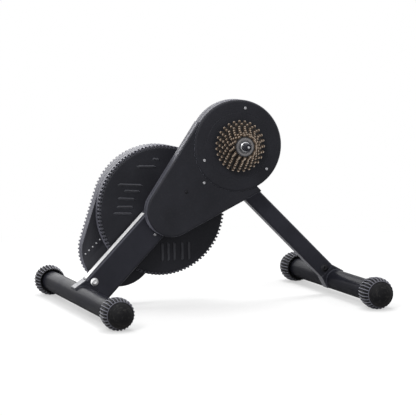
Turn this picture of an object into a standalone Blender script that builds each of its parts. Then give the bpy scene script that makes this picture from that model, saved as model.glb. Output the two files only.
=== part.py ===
"""A direct-drive bike trainer at its real size, in metres.

x points forward along the bicycle, y away from the drive side and z up. The origin is on the
floor, under the middle of the trainer. Most pieces are outlines in the x-z plane, given as 2-D
vectors, carried along y, so "levels" below are places along y.
"""

import math

import bmesh
import bpy
from mathutils import Vector

GAP = 0.0003                # between pieces that rest on each other
THREAD_ROOM = 0.0003        # round a screw or a shaft in its hole

# Stance
FOOT_SPREAD = 0.597         # rear tube to front tube
REAR_WIDTH = 0.614          # across the rear feet, without their domes
FRONT_WIDTH = 0.530
FOOT_R = 0.035
FOOT_LENGTH = 0.036
FOOT_DOME = 0.034
FOOT_EDGE = 0.004
FOOT_CROWN = 0.026          # from the mouth to the full width
FOOT_FLAT = 0.0006          # how far the rubber is pressed flat on the floor
FOOT_STEPS = 24
TUBE_R = 0.023
TUBE_WALL = 0.0025
TUBE_IN_FOOT = 0.030

# Wheel axle
AXLE_FORWARD = 0.0565       # from the middle of the stance
AXLE_HEIGHT = 0.355
DROPOUT_WIDTH = 0.130       # between the faces that the bicycle's dropouts stand on
DROPOUT_SLOT = 0.0073       # left open for a dropout on each side
AXLE_R = 0.0085
AXLE_BORE_R = 0.0029
AXLE_CAP_R = 0.013
FAR_CAP_T = 0.0025
NEAR_CAP_T = 0.0042
AXLE_SLEEVE_R = 0.017

# Main beam
BEAM_W = 0.068
BEAM_T = 0.038
BEAM_WALL = 0.003
BEAM_EDGE = 0.006
BEAM_HIGH = 0.0117          # its middle line passes this far above and behind the axle
BEAM_LOW = 0.0127           # and this far below and in front of the rear tube's middle
BEAM_END = 0.0316           # from the rear tube's middle to the beam's cut end

# Front leg and its hinge
LEG_W = 0.038
LEG_T = 0.032
LEG_WALL = 0.0025
LEG_EDGE = 0.005
LEG_END = 0.0316
HINGE_ALONG = 0.0490        # down the beam from its round head
HINGE_ROOM = 0.0015         # the leg's round end turns this far clear of the beam
HINGE_R = 0.005
HINGE_HEAD_R = 0.008
HINGE_HEAD_T = 0.003
HINGE_PLATE_T = 0.003
HINGE_PLATE_R = 0.015
HINGE_PLATE_HALF = 0.028
HINGE_WEB_T = 0.003
HINGE_WINDOW = 0.019         # the web is open this far each side of the leg
STOP_ALONG = 0.022
STOP_R = 0.004
STOP_EDGE = 0.004
STOP_PROUD = 0.001
KNOB_R = 0.017
KNOB_T = 0.022
KNOB_LOBES = 6
KNOB_LOBE_DEPTH = 0.0015

# Blocks welded on the tubes, which carry the beam and the leg
SADDLE_T = 0.005
TONGUE = 0.028
BOLT_R = 0.004
BOLT_HEAD_R = 0.0065
BOLT_HEAD_T = 0.004
CROSS_BOLT_IN = 0.009       # from the beam's end to the bolt across it
CROSS_BOLT_UP = 0.017       # from the beam's middle line

# Belt drive
BELT_CENTRES = 0.2135       # wheel axle to flywheel shaft
BELT_T = 0.0035
BELT_W = 0.0155
BIG_PITCH_R = 0.076
SMALL_PITCH_R = 0.0145
PULLEY_W = 0.0175
RIM_T = 0.006
WEB_T = 0.005
HUB_R = 0.024
ROLLER_R = 0.015
ROLLER_BACK = 0.170         # from the axle along the line of centres
ROLLER_DOWN = 0.035
ARM_T = 0.003
ARM_R = 0.010
ARM_FORWARD = 0.026
ARM_DOWN = 0.010
ARM_STUD_R = 0.004
ARM_STUD_IN = 0.0008        # short of the roller's front

# Covers over the belt
COVER_WALL = 0.0025
COVER_EDGE = 0.003
COVER_ROOM = 0.0015         # cover to pulley
COVER_END_R = 0.058
COVER_END_IN = 0.006
COVER_BIG_R = 0.1122
COVER_SHIFT = 0.0059
DISC_R = 0.1026
DISC_STEP = 0.004           # the disc stands this far in front of the belt cover
DISC_SKIRT = 0.007          # its wall reaches this far behind the back plate
DISC_HOLE_R = 0.025
PLATE_T = 0.003
PLATE_R = 0.099
PLATE_END_R = 0.0545
PULLEY_ROOM = 0.0045        # back plate to pulley
DISC_SCREWS_R = 0.085
DISC_SCREW_TURNS = [math.radians(a) for a in (77.6, 199.9, 320.0)]
SIDE_SCREWS = [(0.1128, -0.0053), (0.156, 0.0091)]  # back from the axle, and up from the line
SCREW_R = 0.002
SCREW_HEAD_R = 0.0033
SCREW_HEAD_T = 0.0016
SCREW_LENGTH = 0.015
STANDOFF_R = 0.0045

# Hub, freehub and sprockets
BEARING_R = 0.0175
BEARING_W = 0.010
HUB_STEP = 0.0034           # hub in front of the pulley
HUB_BACK_ROOM = 0.0015
NOSE_R = 0.012
FREEHUB_R = 0.017
FREEHUB_FLANGE_R = 0.022
FREEHUB_FLANGE_T = 0.008
FREEHUB_BORE_R = 0.0133
SMALL_BEARING_W = 0.008
FREEHUB_IN = 0.0011         # from the cap's inner face to the freehub's end
CHAIN_PITCH = 0.0127
SPROCKET_TEETH = (12, 13, 14, 15, 17, 19, 21, 24, 27)
SPROCKET_T = 0.0018
SPROCKET_PITCH = 0.0040
SPROCKET_IN = 0.001
TOOTH_TIP = 0.0027
TOOTH_ROOT = 0.0032
SPACER_R = 0.0205
LOCKRING_R = 0.019
LOCKRING_T = 0.0015
LOCKRING_BORE_R = 0.0142

# Housing behind the beam
KNOB_ROOM = 0.00975         # the drum's round edge to the hinge knob
DRUM_DEPTH = 0.0307
FAR_DEPTH = 0.0387
SHELL_WALL = 0.003
SHELL_EDGE = 0.003
LOBE_R = 0.084
LOBE_REACH = 0.128
LOBE_TURN = math.radians(222)
LOBE_COVER_T = 0.003
LOBE_COVER_ROOM = 0.0005
POST_R = 0.004
POST_IN = 0.0095
POST_TURNS = [math.radians(a) for a in (-40, 80, 188)]
POST_SINK = 0.001
DRUM_BOLT_ALONG = 0.050
PLATE_SCREW_DOWN = 0.134    # down the beam from its round head
SLEEVE_FLANGE = 0.006
SLEEVE_FLANGE_T = 0.0025

# Flywheel
SHAFT_R = 0.006
SHAFT_BEARING_R = 0.014
BEARING_SLEEVE_T = 0.0057
FLYWHEEL_R = 0.120
FLYWHEEL_T = 0.020
FLYWHEEL_RIM = 0.032
FLYWHEEL_WEB = 0.005
FLYWHEEL_HUB_R = 0.016
FLYWHEEL_IN = 0.0037        # from the drum's inner face
BRAKE_DISC_R = 0.112
BRAKE_DISC_T = 0.003
BRAKE_DISC_IN = 0.0147      # behind the flywheel
BRAKE_HUB_R = 0.014
SEAT_WALL = 0.004

# Brake
MAGNET_W = 0.013
MAGNET_T = 0.0024
MAGNET_ROOM = 0.001
MAGNET_LENGTH = 0.050
MAGNET_OUT = 0.095
CARRIAGE_IN = 0.086
CARRIAGE_BRIDGE = 0.008
CARRIAGE_HALF = 0.030
CARRIAGE_PLATE = 0.003
CARRIAGE_ROOM = 0.002
CARRIAGE_TRAVEL = 0.022
ROD_R = 0.002               # thin enough to pass between the magnets
ROD_SIDE = 0.022
MOUNT_OUT = 0.158
MOUNT_T = 0.005
MOUNT_HALF = 0.032
MOTOR_R = 0.0085
MOTOR_LENGTH = 0.022
BOARD_T = 0.0016
BOARD_BOX = (0.095, 0.150, -0.060, -0.025)
INLET_SPOT = (0.110, 0.045)
INLET_W = 0.0154
INLET_H = 0.0114
INLET_WALL = 0.0022
INLET_DEPTH = 0.0095
INLET_FLOOR = 0.003
INLET_PROUD = 0.0008

# Skewer
SKEWER_R = 0.0025
NUT_R = 0.0095
NUT_T = 0.012
SKEWER_TIP = 0.002
LEVER_BASE_R = 0.0105
LEVER_BASE_T = 0.0067
LEVER_EYE_R = 0.0072
LEVER_HALF = 0.008
LEVER_SLOT_HALF = 0.0031
LEVER_LENGTH = 0.050
LEVER_TIP_HALF = 0.0028
LEVER_TURN = math.radians(100)
CAM_R = 0.003

ROUND = 24                  # faces round a turned piece


def across(point, level):
    """A point of the x-z plane at a level along y."""
    return Vector((point[0], level, point[1]))


def turned_left(v):
    return Vector((-v.y, v.x))


def heading(angle):
    return Vector((math.cos(angle), math.sin(angle)))


def circle(centre, radius, steps=ROUND, start=0.0):
    return [centre + heading(start + math.tau * i / steps) * radius for i in range(steps)]


def arc(centre, radius, start, end, steps):
    """From start to end, whichever way round that is."""
    return [centre + heading(start + (end - start) * i / steps) * radius for i in range(steps + 1)]


# Places worked out from the sizes above
TUBE_Z = FOOT_R - FOOT_FLAT
REAR_TUBE = Vector((-FOOT_SPREAD / 2, TUBE_Z))
FRONT_TUBE = Vector((FOOT_SPREAD / 2, TUBE_Z))
AXLE = Vector((AXLE_FORWARD, AXLE_HEIGHT))

rise = AXLE - REAR_TUBE
BEAM_TURN = math.atan2(rise.y, rise.x) + math.asin((BEAM_HIGH + BEAM_LOW) / rise.length)
BEAM_UP = heading(BEAM_TURN)
BEAM_LEFT = turned_left(BEAM_UP)
HEAD = AXLE + BEAM_LEFT * BEAM_HIGH
BEAM_TAIL = REAR_TUBE - BEAM_LEFT * BEAM_LOW + BEAM_UP * BEAM_END
SHAFT = HEAD - BEAM_UP * math.sqrt(BELT_CENTRES ** 2 - BEAM_HIGH ** 2)

HINGE = HEAD - BEAM_UP * HINGE_ALONG - BEAM_LEFT * (BEAM_W / 2 + LEG_W / 2 + HINGE_ROOM)
LEG_DOWN = (FRONT_TUBE - HINGE).normalized()
LEG_FRONT = turned_left(LEG_DOWN)
LEG_TAIL = FRONT_TUBE - LEG_DOWN * LEG_END
DRUM_R = (HINGE - SHAFT).length - KNOB_R - KNOB_ROOM
STOP = HINGE + LEG_DOWN * STOP_ALONG + LEG_FRONT * (LEG_W / 2 + GAP + STOP_R)

LINE = (AXLE - SHAFT).normalized()          # along the line of centres, towards the axle
LINE_LEFT = turned_left(LINE)
COVER_END = SHAFT + LINE * COVER_END_IN
COVER_BIG = AXLE - LINE_LEFT * COVER_SHIFT
ROLLER = AXLE - LINE * ROLLER_BACK - LINE_LEFT * ROLLER_DOWN
ARM_PIVOT = ROLLER + LINE * ARM_FORWARD - LINE_LEFT * ARM_DOWN

OUT = heading(LOBE_TURN)                    # from the shaft into the lobe
OUT_LEFT = turned_left(OUT)
LOBE = SHAFT + OUT * LOBE_REACH

# Levels along y, from the back plate towards the drive side
HINGE_PLATE_IN = LEG_T / 2 + GAP
HINGE_PLATE_OUT = HINGE_PLATE_IN + HINGE_PLATE_T
HINGE_HEAD_OUT = HINGE_PLATE_OUT + GAP + HINGE_HEAD_T
PLATE_BACK = -max(BEAM_T / 2, HINGE_HEAD_OUT) - GAP
PLATE_FRONT = PLATE_BACK - PLATE_T
PULLEY_BACK = PLATE_FRONT - PULLEY_ROOM
PULLEY_FRONT = PULLEY_BACK - PULLEY_W
BELT_FACE_IN = PULLEY_FRONT - COVER_ROOM
BELT_FACE = BELT_FACE_IN - COVER_WALL
DISC_FACE = BELT_FACE - DISC_STEP
HUB_BACK = PLATE_FRONT - HUB_BACK_ROOM
HUB_FRONT = PULLEY_FRONT - HUB_STEP
FREEHUB_BACK = HUB_FRONT - GAP
AXLE_FAR = BEAM_T / 2
FAR_END = AXLE_FAR + GAP + FAR_CAP_T
NEAR_END = FAR_END - DROPOUT_WIDTH
AXLE_NEAR = NEAR_END + NEAR_CAP_T + GAP
FREEHUB_FRONT = AXLE_NEAR + FREEHUB_IN

# Levels behind the beam
DRUM_FACE = BEAM_T / 2 + GAP
DRUM_FLOOR = DRUM_FACE + SHELL_WALL
DRUM_RIM = DRUM_FACE + DRUM_DEPTH
FAR_RIM = DRUM_RIM + GAP
FAR_FACE = FAR_RIM + FAR_DEPTH
FAR_FLOOR = FAR_FACE - SHELL_WALL
FLYWHEEL_NEAR = DRUM_FLOOR + FLYWHEEL_IN
FLYWHEEL_FAR = FLYWHEEL_NEAR + FLYWHEEL_T
BRAKE_NEAR = FLYWHEEL_FAR + BRAKE_DISC_IN
BRAKE_FAR = BRAKE_NEAR + BRAKE_DISC_T
BRAKE_MID = (BRAKE_NEAR + BRAKE_FAR) / 2
SHAFT_NEAR = PULLEY_FRONT - COVER_ROOM / 2
SHAFT_FAR = FAR_FLOOR - 2 * GAP - SHELL_WALL / 2


class Build:
    """Collects rings of points and closes them into solids."""

    def __init__(self):
        self.mesh = bmesh.new()

    def ring(self, points):
        return [self.mesh.verts.new(p) for p in points]

    def bridge(self, first, second):
        for i in range(len(first)):
            j = (i + 1) % len(first)
            self.mesh.faces.new((first[i], first[j], second[j], second[i]))

    def cap(self, *rings):
        """One flat face with the first ring as its edge and the others as holes."""
        if len(rings) == 1:
            self.mesh.faces.new(rings[0])
            return
        edges = []
        for ring in rings:
            for a, b in zip(ring, ring[1:] + ring[:1]):
                edges.append(self.mesh.edges.get((a, b)) or self.mesh.edges.new((a, b)))
        bmesh.ops.triangle_fill(self.mesh, edges=edges, use_beauty=True)

    def stack(self, levels, closed=False):
        """Joins rings of equal count one after another, then closes the ends."""
        rings = [self.ring(points) for points in levels]
        for first, second in zip(rings, rings[1:]):
            self.bridge(first, second)
        if closed:
            self.bridge(rings[-1], rings[0])
        else:
            self.cap(rings[0])
            self.cap(rings[-1])

    def walls(self, outline, near, far, holes=()):
        """A flat piece between two levels, with holes given as outlines."""
        near_rings = [self.ring(across(p, near) for p in loop) for loop in (outline, *holes)]
        far_rings = [self.ring(across(p, far) for p in loop) for loop in (outline, *holes)]
        for first, second in zip(near_rings, far_rings):
            self.bridge(first, second)
        self.cap(*near_rings)
        self.cap(*far_rings)

    def turn(self, centre, profile, steps=ROUND, start=0.0):
        """A piece turned about a line along y, from a closed profile of (radius, level)."""
        rings = [[across(p, level) for p in circle(centre, radius, steps, start)]
                 for radius, level in profile]
        self.stack(rings, closed=True)

    def pin(self, base, direction, profile, steps=12):
        """A round pin from base along direction, from an open profile of (radius, distance)."""
        facing = direction.to_track_quat("Z", "Y")
        rings = []
        for radius, distance in profile:
            rings.append([base + facing @ Vector((radius * math.cos(a), radius * math.sin(a), distance))
                          for a in (math.tau * i / steps for i in range(steps))])
        self.stack(rings)

    def screw(self, base, direction, head_r, head_t, shank_r, length):
        """base is the underside of the head; direction points into the work."""
        self.pin(base, direction, ((head_r * 0.8, -head_t), (head_r, -head_t * 0.6), (head_r, 0.0),
                                   (shank_r, 0.0), (shank_r, length)), 10)

    def tube(self, centre, bore, radius, near, far, steps=ROUND):
        self.turn(centre, ((bore, near), (radius, near), (radius, far), (bore, far)), steps)

    def finish(self, name, finish, parent=None, smooth=35.0):
        bmesh.ops.recalc_face_normals(self.mesh, faces=self.mesh.faces)
        mesh = bpy.data.meshes.new(name)
        self.mesh.to_mesh(mesh)
        self.mesh.free()
        mesh.shade_smooth()
        mesh.set_sharp_from_angle(angle=math.radians(smooth))
        mesh.materials.append(finish)
        piece = bpy.data.objects.new(name, mesh)
        bpy.context.scene.collection.objects.link(piece)
        if parent is not None:
            piece.parent = parent
            piece.matrix_parent_inverse = parent.matrix_world.inverted()
        return piece


def finish_of(name, colour, roughness, metallic):
    made = bpy.data.materials.new(name)
    made.use_nodes = True
    shader = made.node_tree.nodes["Principled BSDF"]
    shader.inputs["Base Color"].default_value = (*colour, 1.0)
    shader.inputs["Roughness"].default_value = roughness
    shader.inputs["Metallic"].default_value = metallic
    return made


def pivot(name, place):
    """An empty on a joint's axis, which carries the pieces of one moving body."""
    made = bpy.data.objects.new(name, None)
    made.location = place
    bpy.context.scene.collection.objects.link(made)
    bpy.context.view_layer.update()
    return made


def cut(piece, build, name):
    """Takes what build holds away from the piece."""
    tool = build.finish(name, piece.data.materials[0])
    tool.hide_render = True
    tool.display_type = "WIRE"
    made = piece.modifiers.new(name, "BOOLEAN")
    made.operation = "DIFFERENCE"
    made.solver = "EXACT"
    made.object = tool


def join(piece, build, name):
    """Adds what build holds to the piece."""
    tool = build.finish(name, piece.data.materials[0])
    tool.hide_render = True
    tool.display_type = "WIRE"
    made = piece.modifiers.new(name, "BOOLEAN")
    made.operation = "UNION"
    made.solver = "EXACT"
    made.object = tool


def arm_outline(head, tail, half, inset=0.0, steps=12):
    """A straight arm with a round head, its edge moved in by inset. The tail stays where it is."""
    down = (tail - head).normalized()
    side = turned_left(down)
    r = half - inset
    bend = [head + side * (r * math.cos(a)) - down * (r * math.sin(a))
            for a in (math.pi * i / steps for i in range(steps + 1))]
    return [tail + side * r] + bend + [tail - side * r]


def loop_legs(wheels, offset=0.0):
    """The straight legs of a belt round wheels of (centre, pitch radius, side), anticlockwise.

    Side is 1 for a wheel inside the loop and -1 for one that presses on its back. Each leg is
    its heading and the direction from the belt's left edge to its right, which points outwards.
    """
    legs = []
    for (a, ra, sa), (b, rb, sb) in zip(wheels, wheels[1:] + wheels[:1]):
        reach = b - a
        lean = (sa * ra - sb * rb) / reach.length
        angle = math.atan2(reach.y, reach.x) + math.asin(lean)
        legs.append(angle - math.pi / 2)
    return legs


def loop_outline(wheels, offset=0.0, steps=(28, 9, 6)):
    """The belt's line moved outwards by offset, as points."""
    legs = loop_legs(wheels)
    points = []
    for i, (centre, radius, side) in enumerate(wheels):
        arrive, leave = legs[i - 1], legs[i]
        if side < 0:
            arrive, leave = arrive + math.pi, leave + math.pi
        sweep = (leave - arrive) % math.tau if side > 0 else -((arrive - leave) % math.tau)
        points += arc(centre, radius + side * offset, arrive, arrive + sweep, steps[i])
    return points


def circles_hull(a, ra, b, rb, inset=0.0, steps=(16, 32)):
    """The outline of a band round two circles."""
    return loop_outline([(a, ra, 1), (b, rb, 1)], -inset, steps)


def hull(points):
    """The convex outline round points, anticlockwise."""
    ordered = sorted({(round(p[0], 9), round(p[1], 9)) for p in points})

    def half(line):
        kept = []
        for p in line:
            while len(kept) > 1 and turn_of(kept[-2], kept[-1], p) <= 0:
                kept.pop()
            kept.append(p)
        return kept[:-1]

    return [Vector(p) for p in half(ordered) + half(ordered[::-1])]


def turn_of(a, b, c):
    return (b[0] - a[0]) * (c[1] - a[1]) - (b[1] - a[1]) * (c[0] - a[0])


def cup_levels(outline, wall, face, rim, edge, edge_steps=2):
    """The rings of a shell: a floor inside its face, a wall to the rim and a rounded face edge."""
    way = 1 if rim > face else -1
    rounded = [math.pi / 2 * i / edge_steps for i in range(edge_steps + 1)]
    levels = [(outline(wall), face + way * wall), (outline(wall), rim), (outline(0.0), rim)]
    for a in rounded:
        levels.append((outline(edge * (1 - math.cos(a))), face + way * edge * (1 - math.sin(a))))
    return levels


def cup(outline, wall, face, rim, edge, holes=()):
    """A shell with holes through its face."""
    build = Build()
    rings = [build.ring(across(p, level) for p in points)
             for points, level in cup_levels(outline, wall, face, rim, edge)]
    for first, second in zip(rings, rings[1:]):
        build.bridge(first, second)
    way = 1 if rim > face else -1
    inner = [build.ring(across(p, face + way * wall) for p in hole) for hole in holes]
    outer = [build.ring(across(p, face) for p in hole) for hole in holes]
    for first, second in zip(inner, outer):
        build.bridge(first, second)
    build.cap(rings[0], *inner)
    build.cap(rings[-1], *outer)
    return build


def box_arm(name, head, tail, width, thick, wall, edge, finish, parent=None):
    """A rectangular tube with rounded edges and a closed round head, open at its tail."""
    build = Build()
    rounded = [math.pi / 2 * i / 2 for i in range(3)]
    near = [(edge * (1 - math.sin(a)), -thick / 2 + edge * (1 - math.cos(a))) for a in rounded]
    far = [(inset, -level) for inset, level in reversed(near)]
    build.stack([[across(p, level) for p in arm_outline(head, tail, width / 2, inset)]
                 for inset, level in near + far])
    piece = build.finish(name, finish, parent)
    inside = Build()
    beyond = tail + (tail - head).normalized() * wall
    inside.walls(arm_outline(head, beyond, width / 2 - wall), -thick / 2 + wall, thick / 2 - wall)
    cut(piece, inside, name + "_hollow")
    return piece


def pegs(spots, radius, near, far, steps=12):
    """Round cutters along y."""
    build = Build()
    for spot in spots:
        build.walls(circle(spot, radius, steps), near, far)
    return build


def plate_screw_spot():
    return HEAD - BEAM_UP * PLATE_SCREW_DOWN


def drum_bolt_spot():
    return SHAFT + BEAM_UP * DRUM_BOLT_ALONG


def cross_bolt_spot(tail, up, left, shift):
    return tail + up * CROSS_BOLT_IN + left * shift


def make_beam(paint):
    beam = box_arm("main_beam", HEAD, BEAM_TAIL, BEAM_W, BEAM_T, BEAM_WALL, BEAM_EDGE, paint)
    reach = BEAM_T / 2 + BEAM_WALL
    holes = pegs([AXLE], AXLE_SLEEVE_R + GAP, -reach, reach, ROUND)
    holes.walls(circle(SHAFT, SHAFT_BEARING_R + BEARING_SLEEVE_T + GAP), -reach, reach)
    spot = cross_bolt_spot(BEAM_TAIL, BEAM_UP, BEAM_LEFT, CROSS_BOLT_UP)
    holes.walls(circle(spot, BOLT_R + THREAD_ROOM, 12), -reach, reach)
    holes.walls(circle(plate_screw_spot(), SCREW_R + THREAD_ROOM, 12), -reach, 0.0)
    holes.walls(circle(drum_bolt_spot(), BOLT_R + THREAD_ROOM, 12), 0.0, reach)
    cut(beam, holes, "beam_holes")


def make_sleeves(steel):
    """Turned sleeves through the beam: one for the axle, one for the shaft's bearing."""
    build = Build()
    nose = HUB_BACK + GAP
    build.turn(AXLE, ((AXLE_R + GAP, AXLE_FAR), (AXLE_SLEEVE_R, AXLE_FAR),
                      (AXLE_SLEEVE_R, PLATE_BACK + GAP), (NOSE_R, PLATE_BACK + GAP),
                      (NOSE_R, nose), (AXLE_R + GAP, nose)))
    build.finish("axle_sleeve", steel)
    build = Build()
    bore = SHAFT_BEARING_R + GAP
    outer = SHAFT_BEARING_R + BEARING_SLEEVE_T
    flange = DRUM_FLOOR + GAP
    build.turn(SHAFT, ((bore, flange + SLEEVE_FLANGE_T),
                       (outer + SLEEVE_FLANGE, flange + SLEEVE_FLANGE_T),
                       (outer + SLEEVE_FLANGE, flange), (outer, flange),
                       (outer, PLATE_BACK + GAP), (bore, PLATE_BACK + GAP)))
    build.finish("bearing_sleeve", steel)


def make_hinge(paint, steel, plastic):
    """A bracket under the beam with the leg's stop pin, and the bolt and knob that hold the leg."""
    under = -BEAM_W / 2 - GAP
    top = HEAD - BEAM_UP * HINGE_ALONG + BEAM_LEFT * under
    outline = hull([top + BEAM_UP * HINGE_PLATE_HALF, top - BEAM_UP * HINGE_PLATE_HALF]
                   + circle(HINGE, HINGE_PLATE_R, 24) + circle(STOP, STOP_R + STOP_EDGE, 16))
    build = Build()
    build.walls(outline, -HINGE_PLATE_OUT, HINGE_PLATE_OUT, [circle(HINGE, HINGE_R + THREAD_ROOM, 16)])
    bracket = build.finish("hinge_bracket", paint)
    web = top - BEAM_LEFT * HINGE_WEB_T
    far = BEAM_UP * 2 * BEAM_W
    window = BEAM_UP * HINGE_WINDOW
    high = BEAM_LEFT * 2 * HINGE_WEB_T
    low = BEAM_LEFT * 2 * BEAM_W
    pocket = Build()
    pocket.walls([web - far, web - window, web - window + high, web + window + high,
                  web + window, web + far, web + far - low, web - far - low],
                 -HINGE_PLATE_IN, HINGE_PLATE_IN)
    cut(bracket, pocket, "hinge_pocket")
    pin = Build()
    pin.walls(circle(STOP, STOP_R, 16), -HINGE_PLATE_OUT - STOP_PROUD, HINGE_PLATE_OUT + STOP_PROUD)
    join(bracket, pin, "stop_pin")

    build = Build()
    base = across(HINGE, -HINGE_PLATE_OUT - GAP)
    length = 2 * HINGE_PLATE_OUT + 2 * GAP + KNOB_T * 0.8
    build.screw(base, Vector((0, 1, 0)), HINGE_HEAD_R, HINGE_HEAD_T, HINGE_R, length)
    build.finish("hinge_bolt", steel)

    near = HINGE_PLATE_OUT + GAP
    knob = pivot("knob_turn", across(HINGE, near))
    build = Build()
    shape = ((0.55, 0.0), (0.55, 0.18), (1.0, 0.28), (1.0, 0.86), (0.9, 1.0))
    build.stack([[across(p, near + depth * KNOB_T) for p in knob_outline(share)]
                 for share, depth in shape])
    piece = build.finish("hinge_knob", plastic, knob)
    bore = pegs([HINGE], HINGE_R + THREAD_ROOM, near - KNOB_T, near + KNOB_T * 0.85, 16)
    cut(piece, bore, "knob_bore")


def knob_outline(share, steps=36):
    points = []
    for a in (math.tau * i / steps for i in range(steps)):
        radius = KNOB_R + KNOB_LOBE_DEPTH * (math.cos(KNOB_LOBES * a) - 1)
        points.append(HINGE + heading(a) * share * radius)
    return points


def make_leg(paint, steel, rubber):
    fold = pivot("leg_fold", across(HINGE, 0.0))
    leg = box_arm("front_leg", HINGE, LEG_TAIL, LEG_W, LEG_T, LEG_WALL, LEG_EDGE, paint, fold)
    reach = LEG_T / 2 + LEG_WALL
    leg_up = -LEG_DOWN
    leg_left = turned_left(leg_up)
    spot = cross_bolt_spot(LEG_TAIL, leg_up, leg_left, 0.0)
    holes = pegs([HINGE], HINGE_R + THREAD_ROOM, -reach, reach, 16)
    holes.walls(circle(spot, BOLT_R + THREAD_ROOM, 12), -reach, reach)
    cut(leg, holes, "leg_holes")
    make_stabiliser("front", FRONT_TUBE, FRONT_WIDTH, leg_up, leg_left, LEG_END, 0.0,
                    LEG_W, LEG_T, LEG_WALL, spot, paint, steel, rubber, fold)


def make_stabiliser(name, tube, width, up, left, end, shift, arm_w, arm_t, wall, cross,
                    paint, steel, rubber, parent=None):
    """A tube across the trainer with a block welded on it, whose tongue fits inside the arm."""
    half = width / 2 - FOOT_LENGTH + TUBE_IN_FOOT
    build = Build()
    build.walls(circle(tube, TUBE_R), -half, half)
    piece = build.finish(name + "_stabiliser", paint, parent)

    middle = tube + left * shift
    arm_half = arm_w / 2
    hip = TUBE_R + SADDLE_T
    block = Build()
    block.walls([tube - left * hip, middle + up * (end - GAP) - left * arm_half,
                 middle + up * (end - GAP) + left * arm_half, tube + left * hip],
                -arm_t / 2, arm_t / 2)
    join(piece, block, name + "_block")
    inner = arm_half - wall - GAP
    root = middle + up * (end - SADDLE_T)
    tip = middle + up * (end + TONGUE)
    tongue = Build()
    side = arm_t / 2 - wall - GAP
    tongue.walls([root - left * inner, root + left * inner, tip + left * inner, tip - left * inner],
                 -side, side)
    join(piece, tongue, name + "_tongue")
    hollow = Build()
    hollow.walls(circle(tube, TUBE_R - TUBE_WALL), -width, width)
    hollow.walls(circle(cross, BOLT_R + THREAD_ROOM, 12), -arm_t, arm_t)
    cut(piece, hollow, name + "_bores")

    bolt = Build()
    base = across(cross, -arm_t / 2 - GAP)
    bolt.screw(base, Vector((0, 1, 0)), BOLT_HEAD_R, BOLT_HEAD_T, BOLT_R, arm_t + GAP)
    bolt.finish(name + "_cross_bolt", steel, parent)
    for side, where in ((-1, "near"), (1, "far")):
        foot = Build()
        foot_rings(foot, tube, side, width / 2)
        foot.finish(name + "_foot_" + where, rubber, parent, 50.0)


def foot_rings(feet, tube, side, rim):
    """A cup of rubber pushed over the tube's end, with a ball-like end and a flat on the floor."""
    mouth = rim - FOOT_LENGTH
    socket = TUBE_R + GAP
    bottom = mouth + TUBE_IN_FOOT + GAP
    profile = [(socket * 0.3, bottom), (socket, bottom), (socket, mouth),
               (FOOT_R - FOOT_EDGE, mouth), (FOOT_R, mouth + FOOT_CROWN), (FOOT_R, rim)]
    for i in (1, 2, 3):
        a = math.pi / 2 * i / 4
        profile.append((FOOT_R * math.cos(a), rim + FOOT_DOME * math.sin(a)))
    half_step = math.pi / FOOT_STEPS
    rings = []
    for radius, level in profile:
        points = [across(p, side * level) for p in circle(tube, radius, FOOT_STEPS, half_step)]
        for p in points:
            p.z = max(p.z, 0.0)
        rings.append(points)
    feet.stack(rings)


def disc_screw_spots():
    return [AXLE + heading(a) * DISC_SCREWS_R for a in DISC_SCREW_TURNS]


def side_screw_spots():
    return [AXLE - LINE * back + LINE_LEFT * up for back, up in SIDE_SCREWS]


def under_belt_cover(spot):
    """Whether a disc screw also passes through the belt cover's face."""
    return (spot - AXLE) @ LINE < cover_mouth() + COVER_WALL


def cover_mouth():
    """Where the belt cover ends, along the line of centres from the axle."""
    lean = (COVER_END_R - COVER_BIG_R) / (COVER_BIG - COVER_END).length
    return COVER_BIG_R * lean + (COVER_BIG - AXLE) @ LINE


def belt_cover_outline(inset=0.0):
    return circles_hull(COVER_END, COVER_END_R, COVER_BIG, COVER_BIG_R, inset)


def disc_outline(inset=0.0):
    return circle(AXLE, DISC_R - inset, 56)


def beyond_mouth(near, far, start, steps=4):
    """A block over everything on the axle's side of the belt cover's end."""
    build = Build()
    low = AXLE + LINE * start
    side = LINE_LEFT * 2 * COVER_BIG_R
    reach = LINE * 2 * COVER_BIG_R
    build.walls([low - side, low + reach - side, low + reach + side, low + side], near, far)
    return build


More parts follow.
